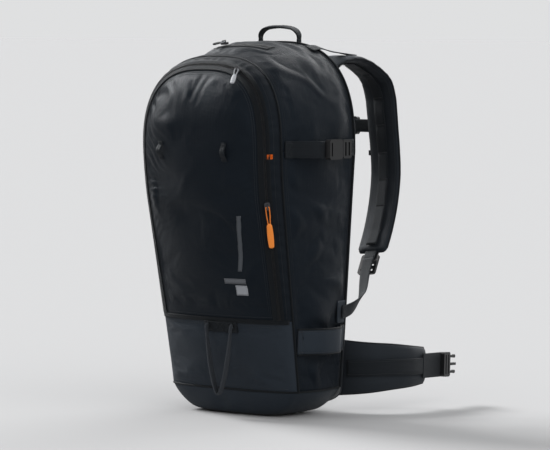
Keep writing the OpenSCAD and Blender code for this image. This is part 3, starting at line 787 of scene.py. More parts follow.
def edge_distance(x, z, bx, bz):
    """Distance of each x and z from the nearest of the edge's points."""
    p = np.stack([x.ravel(), z.ravel()], -1)
    b = np.stack([bx, bz], -1)
    d = np.full(len(p), 1e9)
    for k in range(0, len(b), 50):
        d = np.minimum(d, np.sqrt(((p[:, None] - b[None, k:k + 50]) ** 2).sum(-1)).min(1))
    return d.reshape(x.shape)


def flap_points():
    """The flap with puckers along its zip, a soft fold across its top and slack between."""
    x, z = tombstone(ZIP_LINE[0], ZIP_LINE[1], FLAP_Z, CORNER_Z, ZIP_LINE[4], 117, 121)
    p = front(x, z)
    bx, bz = outline(ZIP_LINE, np.linspace(0, 1, 500))
    hem = np.linspace(-ZIP_LINE[0], ZIP_LINE[0], 90)
    d = edge_distance(x, z, np.concatenate([bx, hem]), np.concatenate([bz, np.full(90, FLAP_Z)]))
    top = edge_distance(x, z, bx[150:350], bz[150:350])
    a = np.arctan2(x, z - FULL_Z)
    pucker = np.sin(a * 46 + 1.3 * cloudy(rng, x, z, 60)) * np.exp(-((top / 42.0) ** 1.4))
    pucker = pucker * (1 - 0.75 * smooth(x, -70, 20))
    inside = smooth(115 - np.abs(x), 5, 50)
    crease, ridge = (np.exp(-(((z - level - 5 * np.sin(x / 24) - 0.05 * x) / high) ** 2)) * inside
                     for level, high in ((426, 12.0), (452, 15.0)))
    slack = cloudy(rng, x, z, 120)
    fold = np.maximum(0, cloudy(rng, x + 14 * cloudy(rng, x, z, 90), z * 0.55, 46)) ** 1.5
    corner = np.sin((np.abs(x) * 0.8 + (z - FLAP_Z)) / 9.0 + cloudy(rng, x, z, 80))
    corner = corner * np.exp(-((z - FLAP_Z) / 55.0)) * smooth(np.abs(x), 40, 100)
    lift = 1.4 * pucker - 1.0 * crease + 1.5 * ridge + 1.5 * slack + 0.6 * fold + 0.6 * corner
    return p + normals_of(p) * (smooth(d, 8, 22) * lift)[..., None], d


flap, flap_gap = flap_points()
flap_more = smooth(flap_gap, 9, 40) * smooth(flap[..., 2], 330, 430)
flap = drape(flap, 1 - smooth(flap_gap, 9, 22), 1.2, frames=18, limit=7.0, excess=flap_more)
flap_tree = tree_of(flap)
flap_attach(cloth_sheet("front_flap_shell", flap, FABRIC), "body_fabric", "front_flap")


def lower_front_points():
    """The tough panel below the flap, gathered a little above the base."""
    q = np.linspace(-1, 1, 91)
    share = 0.25 * q + 0.75 * np.sin(math.pi / 2 * q)
    z = np.broadcast_to(np.linspace(BASE_Z + 0.4, FLAP_Z - 0.6, 41)[None, :], (91, 41))
    x = front_half(z) * share[:, None] * 0.9995
    p = front(x, z)
    d = np.minimum(np.minimum(z - BASE_Z, FLAP_Z - z), (1 - np.abs(share))[:, None] * 130)
    slack = cloudy(rng, x, z, 70)
    gather = 0.8 * np.sin(x / 10 + cloudy(rng, x, z, 60)) * np.exp(-(z - BASE_Z) / 18)
    return p + normals_of(p) * (smooth(d, 4, 20) * (slack + gather))[..., None], d


lower, lower_gap = lower_front_points()
lower = drape(lower, 1 - smooth(lower_gap, 5, 16), 1.2, frames=14, limit=4.0)
lower_tree = tree_of(lower)
attach(cloth_sheet("lower_front_shell", lower, TOUGH), "pack", "base_fabric", "lower_front_panel")


def gusset_points():
    """The band round the sides and over the crown, puckered along both its seams."""
    u = even(BACK_LINE, 268)
    p = gusset(u[:, None], np.linspace(0.004, 0.996, 43)[None, :])
    s = run_lengths(p, 0)[:, None]
    w = run_lengths(p, 1)[None, :]
    seam_gap = np.minimum(w, w[0, -1] - w)
    d = np.minimum(seam_gap * np.ones_like(s), np.minimum(s, s[-1] - s) + 3)
    # The cloth lies flat along the whole path of the top pocket's zip
    zip_gap = np.hypot(np.maximum(0, np.abs(p[..., 0]) - 46), p[..., 1] - gusset(0.5, TOP_T)[1])
    d = np.where(p[..., 2] > 500, np.minimum(d, np.maximum(0, zip_gap - 8)), d)
    pucker = np.sin(s / 4.2 + 1.4 * cloudy(rng, s, w, 70)) * np.exp(-(seam_gap / 16.0))
    slack = cloudy(rng, s, w, 110)
    fold = np.maximum(0, cloudy(rng, s * 0.8, w * 1.2 + 10 * cloudy(rng, s, w, 90), 50)) ** 1.5
    lift = smooth(d, 4, 20) * (0.9 * pucker + 1.5 * slack + 1.0 * fold - 0.8)
    return p + normals_of(p, True) * lift[..., None], d, u


side, side_gap, side_u = gusset_points()
side_pin, side_more = 1 - smooth(side_gap, 4, 16), smooth(side_gap, 5, 30)
side = drape(side, side_pin, 1.0, frames=16, limit=5.0, excess=side_more, flip=True)
side_tree = tree_of(side, True)
ends = len(side_u)
cut = int(np.searchsorted(side_u, SHARE))
for node, low, high in (("side_panel_right", 0, cut + 1), ("crown_panel", cut, ends - cut),
                        ("side_panel_left", ends - cut - 1, ends)):
    attach(cloth_sheet("shell_" + node, side[low:high], FABRIC, flip=True), "pack", "body_fabric", node)


def border_points():
    """The narrow border outside the zip, gathered along its middle."""
    t = np.linspace(0.0, 0.985, 8)
    p = collar(even(SEAM_LINE, 330)[:, None], t[None, :])
    s = run_lengths(p, 0)[:, None]
    gather = 0.5 + 0.5 * np.sin(s / 3.1 + 1.5 * cloudy(rng, s, t[None, :] * 10, 60))
    return p + normals_of(p, True) * (np.sin(math.pi * t)[None, :] * gather)[..., None]


border = border_points()
border_tree = tree_of(border, True)
border_piece = cloth_sheet("zip_border_shell", border, BORDER, flip=True, thick=1.6)
attach(border_piece, "pack", "body_fabric", "zip_gusset")


# ---------------------------------------------------------------- seams and the front zip
def front_normals(p):
    x, z = p[:, 0], p[:, 2]
    du = front(x + 0.05, z) - front(x - 0.05, z)
    dv = front(x, z + 0.05) - front(x, z - 0.05)
    return unit(np.cross(du, dv))


def beside_zip(inward=0.0, count=420, ends=0.002):
    """Line on the front beside the zip, with its normals."""
    u = even(ZIP_LINE, count, ends, 1 - ends)
    x, z = outline(ZIP_LINE, u)
    ox, oz = outward(u)
    p = front(x - ox * inward, z - oz * inward)
    return p, front_normals(p)


def piping(name, line, t, y_way, lift, radius):
    """Bound seam round the body along one outline."""
    u = even(line, 420)
    out = np.stack([outward(u)[0], np.full_like(u, y_way), outward(u)[1]], -1)
    attach(tube(name, gusset(u, t) + unit(out) * lift, radius, BIND), "pack", "strap_fabric")


piping("piping_front", FRONT_LINE, 0.0, -0.8, 0.5, 1.9)
piping("piping_back", BACK_LINE, 1.0, 0.4, 0.9, 2.1)

hinge = front(np.linspace(-0.985, 0.985, 120) * SEAM_LINE[0], FLAP_Z - 1.4)
hinge_tape = ribbon("hinge_seam_tape", hinge, front_normals(hinge), 7.0, BIND, 0.8, 0.3)
attach(hinge_tape, "pack", "strap_fabric")

zip_mid, zip_n = beside_zip()
flap_zip, flap_zip_n = beside_zip(4.6)
tape = ribbon("body_zip_tape_strip", beside_zip(-3.6)[0], zip_n, 6.0, TAPE, 0.7, 0.5)
attach(tape, "pack", "zip_tape", "body_zip_tape")
tape = ribbon("flap_zip_tape_strip", flap_zip, flap_zip_n, 8.4, TAPE, 0.7, 0.5)
flap_attach(tape, "zip_tape", "flap_zip_tape")
attach(coil("body_zip_coil", zip_mid, zip_n, 1), "pack", "zip_tape")
flap_attach(coil("flap_zip_coil", zip_mid, zip_n, -1), "zip_tape")


# ---------------------------------------------------------------- base
BASE_TAPER, BASE_ROUND, BASE_LEVELS = 46, 26, 19


def base_ring():
    """Outline of the base's upper edge."""
    right = gusset(0.0, 1 - np.linspace(0, 1, 26)[1:-1])
    share = np.sin(np.radians(np.linspace(88, -88, 90)))
    nose = front(share * FRONT_LINE[0], np.full(90, BASE_Z))
    left = right[::-1] * np.array([-1, 1, 1])
    back = np.stack([np.linspace(-120, 120, 60), np.full(60, INNER_Y), np.full(60, BASE_Z)], -1)
    return np.concatenate([back, right, nose, left])


def base_shell(loop):
    """The base's rings, which taper in and round off towards the floor, with slight dents."""
    ring = respace(loop, 4.0)[:-1]
    rows = []
    for a in np.radians(np.linspace(0, 90, BASE_LEVELS)):
        k = (1 - math.cos(a)) ** 0.6
        p = ring * np.array([1 - BASE_TAPER * k / FRONT_LINE[0], 1 - BASE_ROUND * k / 110, 0])
        p[:, 2] = lerp(BASE_Z - 0.4, 3.4, math.sin(a))
        rows.append(p)
    rows = np.array(rows)
    turn = np.arctan2(rows[..., 1], rows[..., 0])
    swell = np.sin(np.linspace(0, math.pi, BASE_LEVELS))[:, None] ** 0.8
    dents = 0.7 * np.sin(turn * 9 + 2) + 0.6 * cloudy(np.random.default_rng(5), turn * 60, rows[..., 2], 40)
    return rows + unit(rows * np.array([1, 1, 0.0])) * (swell * dents)[..., None]


base_loop = np.concatenate([base_ring(), base_ring()[:1]])
base = ring_object("base_shell", base_shell(base_loop)[::-1], TOUGH, flip=True)
attach(mend(base), "pack", "base_fabric", "base_panel")
base_seam = base_loop + unit(base_loop * np.array([1, 1, 0.0])) * 0.1
attach(tube("piping_base", base_seam, 1.5, BIND, step=4.0), "pack", "strap_fabric")

# ---------------------------------------------------------------- back panel and cushions
bx, bz = tombstone(BACK_LINE[0], BACK_LINE[1], 14.0, CORNER_Z, BACK_LINE[4], 93, 141, foot=(44.0, 24.0))
back_gap = edge_distance(bx, bz, *(np.concatenate([g[0], g[-1], g[:, 0], g[:, -1]]) for g in (bx, bz)))
quilt = np.exp(-((bx / 5.0) ** 2)) * smooth(bz, 150, 170) * (1 - smooth(bz, 420, 440))
back_y = BACK_Y + 0.5 * smooth(back_gap, 1, 8) * (1 - quilt) - 1.2 * (1 - smooth(back_gap, 0, 5))
back_faces = (np.stack([bx, y, bz], -1) for y in (back_y, np.full_like(bx, 65.2)))
back = slab("back_shell", *back_faces, [STRAP_FACE, LINING], flip=True, slots=(0, 1, 0))
attach(back, "pack", "body_fabric", "back_panel")

for side_name, sign in (("right", 1), ("left", -1)):
    cushion("back_cushion_" + side_name, "back_cushion_binding_" + side_name, "back_pad_" + side_name,
            sign * 62, 282, 38, 125, 26, 14, range(188, 377, 47))
cushion("lumbar_cushion", "lumbar_cushion_binding", "lumbar_pad", 0, 94, 75, 56, 30, 16, (94,), (-38, 38))


# ---------------------------------------------------------------- inside the pack
def pocket(node, cx, cz, w, h, corner, y_back, thick, material, slot):
    """Flat sewn pocket on the inside of the back, which bulges a little towards the front."""
    x, z, rise, d = pad_face(cx, cz, w / 2, h / 2, corner, thick * 0.9, 1.2, 16, step=5)
    rise = rise + 0.25 * cloudy(rng, x, z, 40) * smooth(d, 2, 14)
    top = np.stack([x, y_back - rise, z], -1)
    o = slab(node + "_cloth", top, np.stack([x, np.full_like(x, y_back), z], -1), material)
    attach(o, "pack", slot, node)
    rim = top[:, -1] + np.array([0, -0.5, -1.5])
    attach(tube(node + "_cloth_hem", rim, 2.0, BIND, step=3.0), "pack", "lining_fabric")


SLEEVE_Y = 58.8
pocket("probe_sleeve", -52, 262, 62, 300, 8, SLEEVE_Y, 4, INNER, "lining_fabric")
pocket("shovel_sleeve", 52, 252, 74, 280, 8, SLEEVE_Y, 4, INNER, "lining_fabric")
pocket("goggle_pocket", 0, 494, 150, 84, 16, SLEEVE_Y - 5, 5, POCKET, "pocket_mesh")

# ---------------------------------------------------------------- shoulder straps
# The pads' middle line, from the back panel over the shoulder and down the chest
PAD_ROUTE = [
    (54, 76.6, 440), (55, 79, 484), (58, 106, 527), (64, 158, 534), (72, 206, 508), (76, 218.5, 480),
    (79, 220, 452), (82, 220, 424), (85, 220, 396), (90, 216, 356), (96, 202, 312), (102, 182, 272),
    (107, 160, 238),
]
PAD_WIDTH, PAD_THICK = 62.0, 11.0
PAD_N = 44  # points round a padded strap's section


def pad_rings(path, widths, thick, across, ends):
    """Rings of a padded strap whose ends round off over this length, and its directions."""
    _, wide, up = frames_along(path, across)
    s = distances(path)
    swell = cloudy(np.random.default_rng(3), s, s * 0, 60)
    sections = []
    for i, at in enumerate(s):
        k = math.sqrt(1 - (1 - min(1.0, at / ends, (s[-1] - at) / ends)) ** 2)
        section = pad_section(widths[i] * (0.86 + 0.14 * k), 3.2 + (thick - 3.2) * k, PAD_N)
        section[:, 1] *= 1 + 0.03 * swell[i]
        sections.append(section)
    return rings_of(path, wide, up, sections), wide, up


def pad_slot(j):
    return 1 if PAD_N // 2 + 1 < j < PAD_N - 2 else 0


pad_line = curve(PAD_ROUTE, 3)
pad_fine = respace(pad_line, 3.6)
# The width falls off evenly by ring, as on the coarse CAD band
pad_s, fine_s = distances(pad_line), distances(pad_fine)
pad_w = np.interp(fine_s / fine_s[-1] * pad_s[-1], pad_s, np.linspace(PAD_WIDTH, PAD_WIDTH - 10, len(pad_s)))
rings, pad_wide, pad_up = pad_rings(pad_fine, pad_w, PAD_THICK, (1, 0, 0), 10.0)
pad = mend(ring_object("shoulder_pad_right", rings, [STRAP_FACE, SPACER], pad_slot))
for piece, side_name, _ in pair(pad):
    attach(piece, "pack", "strap_fabric", "shoulder_strap_" + side_name)

for k, sign in ((0, 1), (1, -1)):
    line = pad_fine + pad_wide * (sign * (pad_w / 2 - 0.6))[:, None]
    both(tube("pad_binding_%d_right" % k, line[2:-2], 1.9, BIND), "strap_fabric")

# A flat run of daisy webbing down the outside of each pad, tacked at even distances
TACK_STEP = 42.0
daisy_up = pad_up[4:-3]
daisy = pad_fine[4:-3] + daisy_up * (PAD_THICK / 2 + 0.7)
daisy_s = distances(daisy)
daisy = daisy + daisy_up * (1.5 * np.abs(np.sin(math.pi * daisy_s / TACK_STEP)) ** 0.7)[:, None]
both(strap("daisy_webbing_right", daisy, 19, 1.5, (1, 0, 0), WEB, step=None), "webbing")
rows = []
for k in range(1, int(daisy_s[-1] / TACK_STEP)):
    i = int(np.argmin(np.abs(daisy_s - TACK_STEP * k)))
    n = daisy_up[i]
    rows += bar_tack(daisy[i] + n * 0.85, pad_wide[4 + i], unit(daisy[i + 1] - daisy[i - 1]), n, 17, 3)
both(stitches("daisy_tacks_right", rows, pitch=1.3, length=1.4, width=0.6, height=0.35), "webbing")
rows = []
for sign in (1, -1):
    line = pad_fine + pad_wide * (sign * (pad_w / 2 - 5.5))[:, None] + pad_up * (PAD_THICK / 2 - 0.55)
    rows.append((line[3:-3], pad_up[3:-3]))
both(stitches("pad_stitches_right", rows), "strap_fabric")

# The turn of webbing round the ladder lock's bar follows the lock, and its sewn end stays on the pad
pad_end = np.array(PAD_ROUTE[-1], float)
lock_down = unit(pad_end - np.array(PAD_ROUTE[-2], float))
lock_side = unit(np.array([1, 0, 0]) - lock_down * lock_down[0])
lock_out = np.cross(lock_side, lock_down)
lock_place = pad_end + lock_down * 4
stub = [pad_end + lock_down * a + lock_out * b for a, b in
        ((-36, PAD_THICK / 2 + 0.7), (-10, PAD_THICK / 2 + 0.6), (-1, 3.4), (9.5, 3.0), (12.2, 1.0),
         (12.2, -1.4), (9, -3.0), (-3, -2.6))]
stub = strap("lock_stub_right", curve(stub, 6), 21, 1.5, lock_side, WEB, step=1.6)
for piece, side_name, sign in pair(stub):
    bend_attach(piece, ())

# Adjustment webbing from the ladder lock down to the tab by the base
TAB_Z = 156.0


def on_side(z, t, lift):
    """Point on the pack's right side at this height, lifted outwards."""
    u = SHARE * np.clip((z - BASE_Z) / (CORNER_Z - BASE_Z), 0, 1)
    return gusset(u, t) + np.array([lift, 0, max(0.0, z - CORNER_Z)])


web_top = lock_place + lock_down * 8 + lock_out * -4.5
web_route = curve([
    web_top, web_top + lock_down * 30 + np.array([2, 0, 0]), (124, 114, 176), (133, 84, TAB_Z + 6),
    on_side(TAB_Z, 0.975, 5), on_side(TAB_Z, 0.88, 5),
], 5)
web = strap("adjust_webbing_right", web_route, 20, 1.6, (1, 0, 0), WEB, turns=(0, 0, 1))
both(web, "webbing", "strap_webbing")
tab_u = SHARE * (np.linspace(TAB_Z - 17, TAB_Z + 17, 14) - BASE_Z) / (CORNER_Z - BASE_Z)
tab = gusset(tab_u[:, None], np.linspace(0.8, 0.985, 12)[None, :])
tab_n = normals_of(tab, True)
patch = slab("strap_tab_patch_right", tab + tab_n * 2.2, tab + tab_n * 0.3, TOUGH, flip=True)
both(patch, "base_fabric", "strap_tab")
tab_tree = tree_of(tab + tab_n * 2.2, True)
rows = []
for z0, z1, t0, t1 in ((-14, 14, 0.815, 0.815), (14, 14, 0.815, 0.97), (-14, -14, 0.815, 0.97)):
    line = [on_side(TAB_Z + lerp(z0, z1, k), lerp(t0, t1, k), 2) for k in np.linspace(0, 1, 14)]
    rows.append(lay(line, tab_tree, 0.1))
both(stitches("tab_stitches_right", rows), "base_fabric")
corners = [on_side(TAB_Z + a, t, 5.9) for a, t in ((-7.5, 0.885), (-7.5, 0.95), (7.5, 0.95), (7.5, 0.885))]
rows = box_stitch(corners, (1, 0, 0))
both(stitches("webbing_box_stitch_right", rows, pitch=2.4, length=1.8), "webbing")

lifter = curve([(76, 46, 551.6), (74, 69, 553.5), (71, 98, 548), (67, 134, 544), (64, 164, 540.6)], 4)
lifter = strap("load_lifter_webbing_right", lifter, 18, 1.6, (0.92, 0, -0.39), WEB, turns=(1, 0, 0))
both(lifter, "webbing", "load_lifter")

# ---------------------------------------------------------------- sternum strap
STERNUM_Z, RAIL_X, RAIL_Y = 430.0, 52.0, 230.5


def clip_piece(sign):
    """C-shaped runner that slides on the rail, with slightly rounded ends."""
    outer, bore = 4.6, 1.75
    a = np.radians(np.linspace(-150, 150, 25))
    rows = []
    for z, grow in ((-10, -0.7), (-9.2, 0), (9.2, 0), (10, -0.7)):
        ring_out, ring_in = (np.stack([sign * (RAIL_X + r * np.cos(a)), RAIL_Y + r * np.sin(a)], -1)
                             for r in (outer + grow, bore))
        flat = np.concatenate([ring_out, ring_in[::-1]])
        rows.append(np.concatenate([flat, np.full((len(flat), 1), STERNUM_Z + z)], 1))
    return mend(ring_object("sternum_runner", np.array(rows), PLASTIC))


runners = join("sternum_runners", [clip_piece(1), clip_piece(-1)])
attach(runners, "sternum_strap", "buckle_plastic", "sternum_webbing")
for side_name, x0, x1 in (("right", 4.0, 46.6), ("left", -46.6, -16.0)):
    path = np.array([(x, RAIL_Y, STERNUM_Z) for x in np.linspace(x0, x1, 12)])
    attach(strap("sternum_web_" + side_name, path, 20, 1.6, (0, 0, 1), WEB), "sternum_strap", "webbing")
rows = []
for sign in (1, -1):
    corners = ((38, -7), (46, -7), (46, 7), (38, 7))
    rows += box_stitch([(sign * x, RAIL_Y + 0.9, STERNUM_Z + z) for x, z in corners], (0, 1, 0))
attach(stitches("sternum_stitches", rows, pitch=2.2, length=1.7), "sternum_strap", "webbing")

# ---------------------------------------------------------------- haul loop
HAUL_PIVOT = np.array([0, 67.5, 565.5])
haul = [(-38, 0, 0), (-37, 0, 8), (-26, 0, 16), (0, 0, 19), (26, 0, 16), (37, 0, 8), (38, 0, 0)]
haul = respace(curve(haul, 6) + HAUL_PIVOT, 2.4)
t = np.linspace(0, 1, len(haul))
haul_wide = np.interp(t, [0, 0.22, 0.78, 1], [9, 18, 18, 9])
haul_thick = np.interp(t, [0, 0.2, 0.35, 0.65, 0.8, 1], [2.2, 2.4, 4.2, 4.2, 2.4, 2.2])
_, hw, hu = frames_along(haul, (0, 1, 0))
rings = rings_of(haul, hw, hu, [web_section(w, h) for w, h in zip(haul_wide, haul_thick)])
attach(ring_object("haul_webbing", rings, WEB), "haul_loop", "webbing", "haul_loop")
rows = []
for sign in (1, -1):
    for face in (1, -1):
        line = haul + hw * (sign * 6.5) + hu * (face * (haul_thick / 2 + 0.05))[:, None]
        rows.append((line[10:-10], face * hu[10:-10]))
attach(stitches("haul_stitches", rows, pitch=2.8, length=2.0), "haul_loop", "webbing")
for side_name, sign in (("right", 1), ("left", -1)):
    foot = np.array([(sign * 38, HAUL_PIVOT[1], z) for z in np.linspace(549.0, 566.0, 8)])
    attach(strap("haul_foot_" + side_name, foot, [11, 10], 2.4, (0, 1, 0), WEB, step=2.0), "pack", "webbing")

# ---------------------------------------------------------------- ski carriers
SKI_Z, LOOP_Z = 404.0, 116.0


def carrier(z, room):
    """Route of a strap that stands off the pack's right side by this much, sewn down at both ends."""
    out_x = on_side(z, 0.5, room)[0]
    a, b = on_side(z, 0.11, 2.5), on_side(z, 0.89, 2.5)
    mid = [a, (out_x - 5, a[1] + 18, z), (out_x, a[1] + 32, z),
           (out_x, b[1] - 32, z), (out_x - 5, b[1] - 18, z), b]
    return np.concatenate([[on_side(z, 0.03, 2.5)], curve(mid, 6), [on_side(z, 0.97, 2.5)]])


both(strap("ski_strap_webbing_right", carrier(SKI_Z, 27.0), 25, 1.6, (0, 0, 1), WEB), "webbing", "ski_strap")
loop_path = respace(carrier(LOOP_Z, 18.0), 3.0)
loop_ways = (0.05, 0, 1), (0.075, 0, 1)
loop_cloth = strap("ski_loop_cloth_right", loop_path, 38, 2.2, loop_ways[0], TOUGH, loop_ways[1], step=None)
both(loop_cloth, "base_fabric", "ski_loop")
_, lw, lu = frames_along(loop_path, *loop_ways)
lu = lu * (1.0 if lu[len(lu) // 2][0] > 0 else -1.0)
rows = [(loop_path + lw * k + lu * 1.15, lu) for k in (16.0, -16.0)]
both(stitches("ski_loop_stitches_right", rows), "base_fabric")
for k in (1, -1):
    both(tube("ski_loop_edge_%d_right" % (k + 1), loop_path + lw * (k * 18.6), 1.7, BIND), "strap_fabric")
rows = []
for t0, t1 in ((0.035, 0.1), (0.9, 0.965)):
    for z, half, lift, cross in ((SKI_Z, 9.5, 3.5, True), (LOOP_Z, 15, 3.8, False)):
        corners = [on_side(z + a, t, lift) for a, t in ((-half, t0), (-half, t1), (half, t1), (half, t0))]
        rows += box_stitch(corners, (1, 0, 0), cross)
both(stitches("carrier_box_stitch_right", rows, pitch=2.4, length=1.8), "webbing")

# ---------------------------------------------------------------- hip belt
WING_Z, WING_START, WING_END = 68.0, 78.0, 112.0
WING = [(81, 79, WING_Z), (114, 82, WING_Z), (146, 100, WING_Z), (164, 134, WING_Z),
        (170, 176, WING_Z - 2), (163, 218, WING_Z - 4)]
wing_line = respace(curve(WING, 6), 3.4)
wing_t = np.linspace(0, 1, len(wing_line))
wing_high = np.interp(wing_t, np.linspace(0, 1, 26), np.linspace(88, 54, 26))
rings, wing_wide, wing_up = pad_rings(wing_line, wing_high, 12.0, (0, 0, 1), 9.0)
# Two sewn channels run along each wing
middle = np.interp(wing_t, [0, 1], [WING_Z, WING_Z - 4])[:, None]
channel = np.exp(-((np.abs(rings[:, :, 2] - middle) - 13) / 2.6) ** 2)
depth = ((rings - wing_line[:, None, :]) * wing_up[:, None, :]).sum(-1)
fade = (smooth(wing_t, 0.03, 0.12) * (1 - smooth(wing_t, 0.9, 0.98)))[:, None]
rings = rings - wing_up[:, None, :] * (np.sign(depth) * 1.5 * channel * fade)[..., None]
out_way = 1.0 if wing_up[len(wing_up) // 2][0] > 0 else -1.0


def wing_slot(j):
    return 0 if (0 < j < 22) == (out_way > 0) else 1


def bend_wings(o, slot, *nodes, fill=None):
    """Puts a piece of the right wing and its mirror image in place, with the CAD nodes they stand for hidden.
    """
    for piece, side_name, sign in pair(o):
        bend_attach(piece, [n + "_" + side_name for n in nodes])


wing = mend(ring_object("hip_wing_pad_right", rings, [STRAP_FACE, SPACER], wing_slot))
bend_wings(wing, "strap_fabric", "hip_wing", fill=0.75)
for k, sign in ((0, 1), (1, -1)):
    line = wing_line + wing_wide * (sign * (wing_high / 2 - 0.6))[:, None]
    bend_wings(tube("wing_binding_%d_right" % k, line[1:-1], 1.9, BIND), "strap_fabric")
wing_end = np.array(WING[-1], float)
ahead = unit(wing_end - np.array(WING[-2], float))
wing_out = unit(np.array([ahead[1], -ahead[0], 0]))
hip_run = curve([wing_end + ahead * d + wing_out * 8.0 for d in (-18, 4, 24, 46)], 4)
hip_web = strap("hip_webbing_strap_right", hip_run, 38, 1.6, (0, 0, 1), WEB)
both(hip_web, "webbing", "hip_webbing", body="hip_wing")
belt_part = (wing_t > 0.2) & (wing_t < 0.985)
belt_n = wing_up[belt_part] * out_way
belt = (wing_line + wing_up * (out_way * 6.9))[belt_part]
bend_wings(strap("wing_web_right", belt, 25, 1.5, (0, 0, 1), WEB, step=None), "webbing")
rows = [(belt + np.array([0, 0, k]) + belt_n * 0.85, belt_n) for k in (9.5, -9.5)]
bend_wings(stitches("wing_web_stitches_right", rows), "webbing")

# ---------------------------------------------------------------- stitch rows of the body
rows = [lay(beside_zip(inward, 500, 0.006)[0], flap_tree, 0.05) for inward in (10.6, 13.4)]
flap_attach(stitches("flap_edge_stitches", rows), "body_fabric")
rows = [lay(beside_zip(-8.6, 500, 0.006)[0], border_tree, 0.05)]
attach(stitches("border_stitches", rows), "pack", "body_fabric")
u = even(BACK_LINE, 400, 0.004, 0.996)
rows = [lay(gusset(u, t), side_tree, 0.05) for inset in (0.04, 0.06) for t in (inset, 1 - inset)]
attach(stitches("side_seam_stitches", rows, pitch=3.8), "pack", "body_fabric")
rows = []
for z in (FLAP_Z - 6.5, FLAP_Z - 9.5, BASE_Z + 5.0):
    x = np.linspace(-0.93, 0.93, 140) * front_half(z)
    rows.append(lay(front(x, z), lower_tree, 0.05))
attach(stitches("lower_panel_stitches", rows), "pack", "base_fabric")
x = np.linspace(-0.9, 0.9, 130) * ZIP_LINE[0]
rows = [lay(front(x, FLAP_Z + 5.5), flap_tree, 0.05)]
flap_attach(stitches("flap_hem_stitches", rows), "body_fabric")

# ---------------------------------------------------------------- trim on the front
# Plain reflective marks on the flap: x and z limits, how far the mark leans, and its film
MARKS = ((67, 74, 222, 306, 0.15, BAR), (36, 73, 203, 211, 0, DIM), (54, 73, 186, 201, 0, REFLECT))
LEAN_Z = 264  # height at which a leaning mark is in its place
marks, rows = [], []
for x0, x1, z0, z1, lean, film in MARKS:
    xs = np.linspace(x0, x1, max(5, int((x1 - x0) / 1.5)))
    zs = np.linspace(z0, z1, int((z1 - z0) / 2.5))
    low, n = cast(flap_tree, xs[:, None] + lean * (zs[None, :] - LEAN_Z), zs[None, :], 0.15)
    marks.append(slab("mark", low + n * 0.45, low, film))
    x0, x1, z0, z1 = x0 + 0.9, x1 - 0.9, z0 + 1, z1 - 1
    c = [(x + lean * (z - LEAN_Z), z) for x, z in ((x0, z0), (x0, z1), (x1, z1), (x1, z0), (x0, z0))]
    for a, b in zip(c, c[1:]):
        k = np.linspace(0, 1, max(4, int(math.hypot(b[0] - a[0], b[1] - a[1]) / 2)))
        rows.append(cast(flap_tree, lerp(a[0], b[0], k), lerp(a[1], b[1], k), 0.62))
attach(join("reflective_bar_and_patch", marks), "front_flap", "reflective", "reflective_marks")
mark_rows = stitches("mark_stitches", rows, pitch=2.6, length=1.9, width=0.4, height=0.3)
attach(mark_rows, "front_flap", "body_fabric")

# Helmet loops
HELMET_X, HELMET_Z = 61.0, 400
loops, rows = [], []
for sign in (-1, 1):
    z = HELMET_Z + np.array([-13, -9, -5, 0, 5, 9, 13])
    pts, n = cast(flap_tree, np.full(7, sign * HELMET_X), z, 0)
    path = curve(pts + n * np.array([1.3, 1.8, 5.3, 7, 5.3, 1.8, 1.3])[:, None], 4)
    loops.append(strap("helmet", path, 9, 1.5, (1, 0, 0), WEB, step=1.4))
    for end_z, way in ((z[0], 1), (z[-1], -1)):
        x = sign * HELMET_X + np.array([-3.6, 3.6, 3.6, -3.6])
        pts, n = cast(flap_tree, x, end_z + np.array([-1.2, -1.2, 2.6, 2.6]) * way, 2.15)
        rows += box_stitch(pts, n[0], cross=False)
attach(join("helmet_loop_webbing", loops), "front_flap", "webbing", "helmet_loops")
tacks = stitches("helmet_loop_tacks", rows, pitch=1.6, length=1.3, width=0.5, height=0.35)
attach(tacks, "front_flap", "webbing")

# Small coloured bar-tack on the zip border
u_tack = SHARE * (394 - FLAP_Z) / (CORNER_Z - FLAP_Z)
place, normal = lay(collar(np.array([u_tack, u_tack + 0.004]), 0.25), border_tree, 0.9)
along = unit(place[1] - place[0])
rows = bar_tack(place[0], unit(np.cross(normal[0], along)), along, normal[0], 8.4, 7, gap=1.0)
tack = stitches("orange_bar_tack", rows, ACCENT_THREAD, pitch=1.1, length=1.3, width=1.0, height=0.6)
attach(tack, "pack", "orange_cord")

# Ice-axe loop and the patch that carries it
AXE_X, AXE_Z = 12.0, FLAP_Z - 12
xs, zs = AXE_X + np.linspace(-31, 31, 31), np.linspace(AXE_Z - 8, AXE_Z + 8, 9)
low, n = cast(lower_tree, xs[:, None], zs[None, :], 0.2)
attach(slab("axe_patch", low + n * 2.2, low, WEB), "pack", "webbing", "axe_anchor")
rows = []
for x0, x1 in ((-28, -17), (-6, 6), (17, 28)):
    x, z = np.array([x0, x1, x1, x0]), np.array([-6.2, -6.2, 6.2, 6.2])
    pts, n = cast(lower_tree, AXE_X + x, AXE_Z + z, 2.5)
    rows += box_stitch(pts, n[0])
attach(stitches("axe_patch_stitches", rows, pitch=2.2, length=1.7), "pack", "webbing")
axe_y = float(front(0.0, AXE_Z)[1]) - 7
axe = curve([(AXE_X + a, axe_y, AXE_Z - b) for a, b in
             ((-24, 0), (-20, 34), (-12, 74), (0, 102), (12, 74), (20, 34), (24, 0))], 5)
# The loop and its roots use webbing painted lighter than the rest, a painted highlight
axe_loop = strap("axe_loop_webbing", axe, [5, 10, 10, 10, 5], 1.7, (0, 1, 0), HIGHLIGHT_WEB, step=2.4)
attach(axe_loop, "axe_loop", "webbing", "axe_loop")
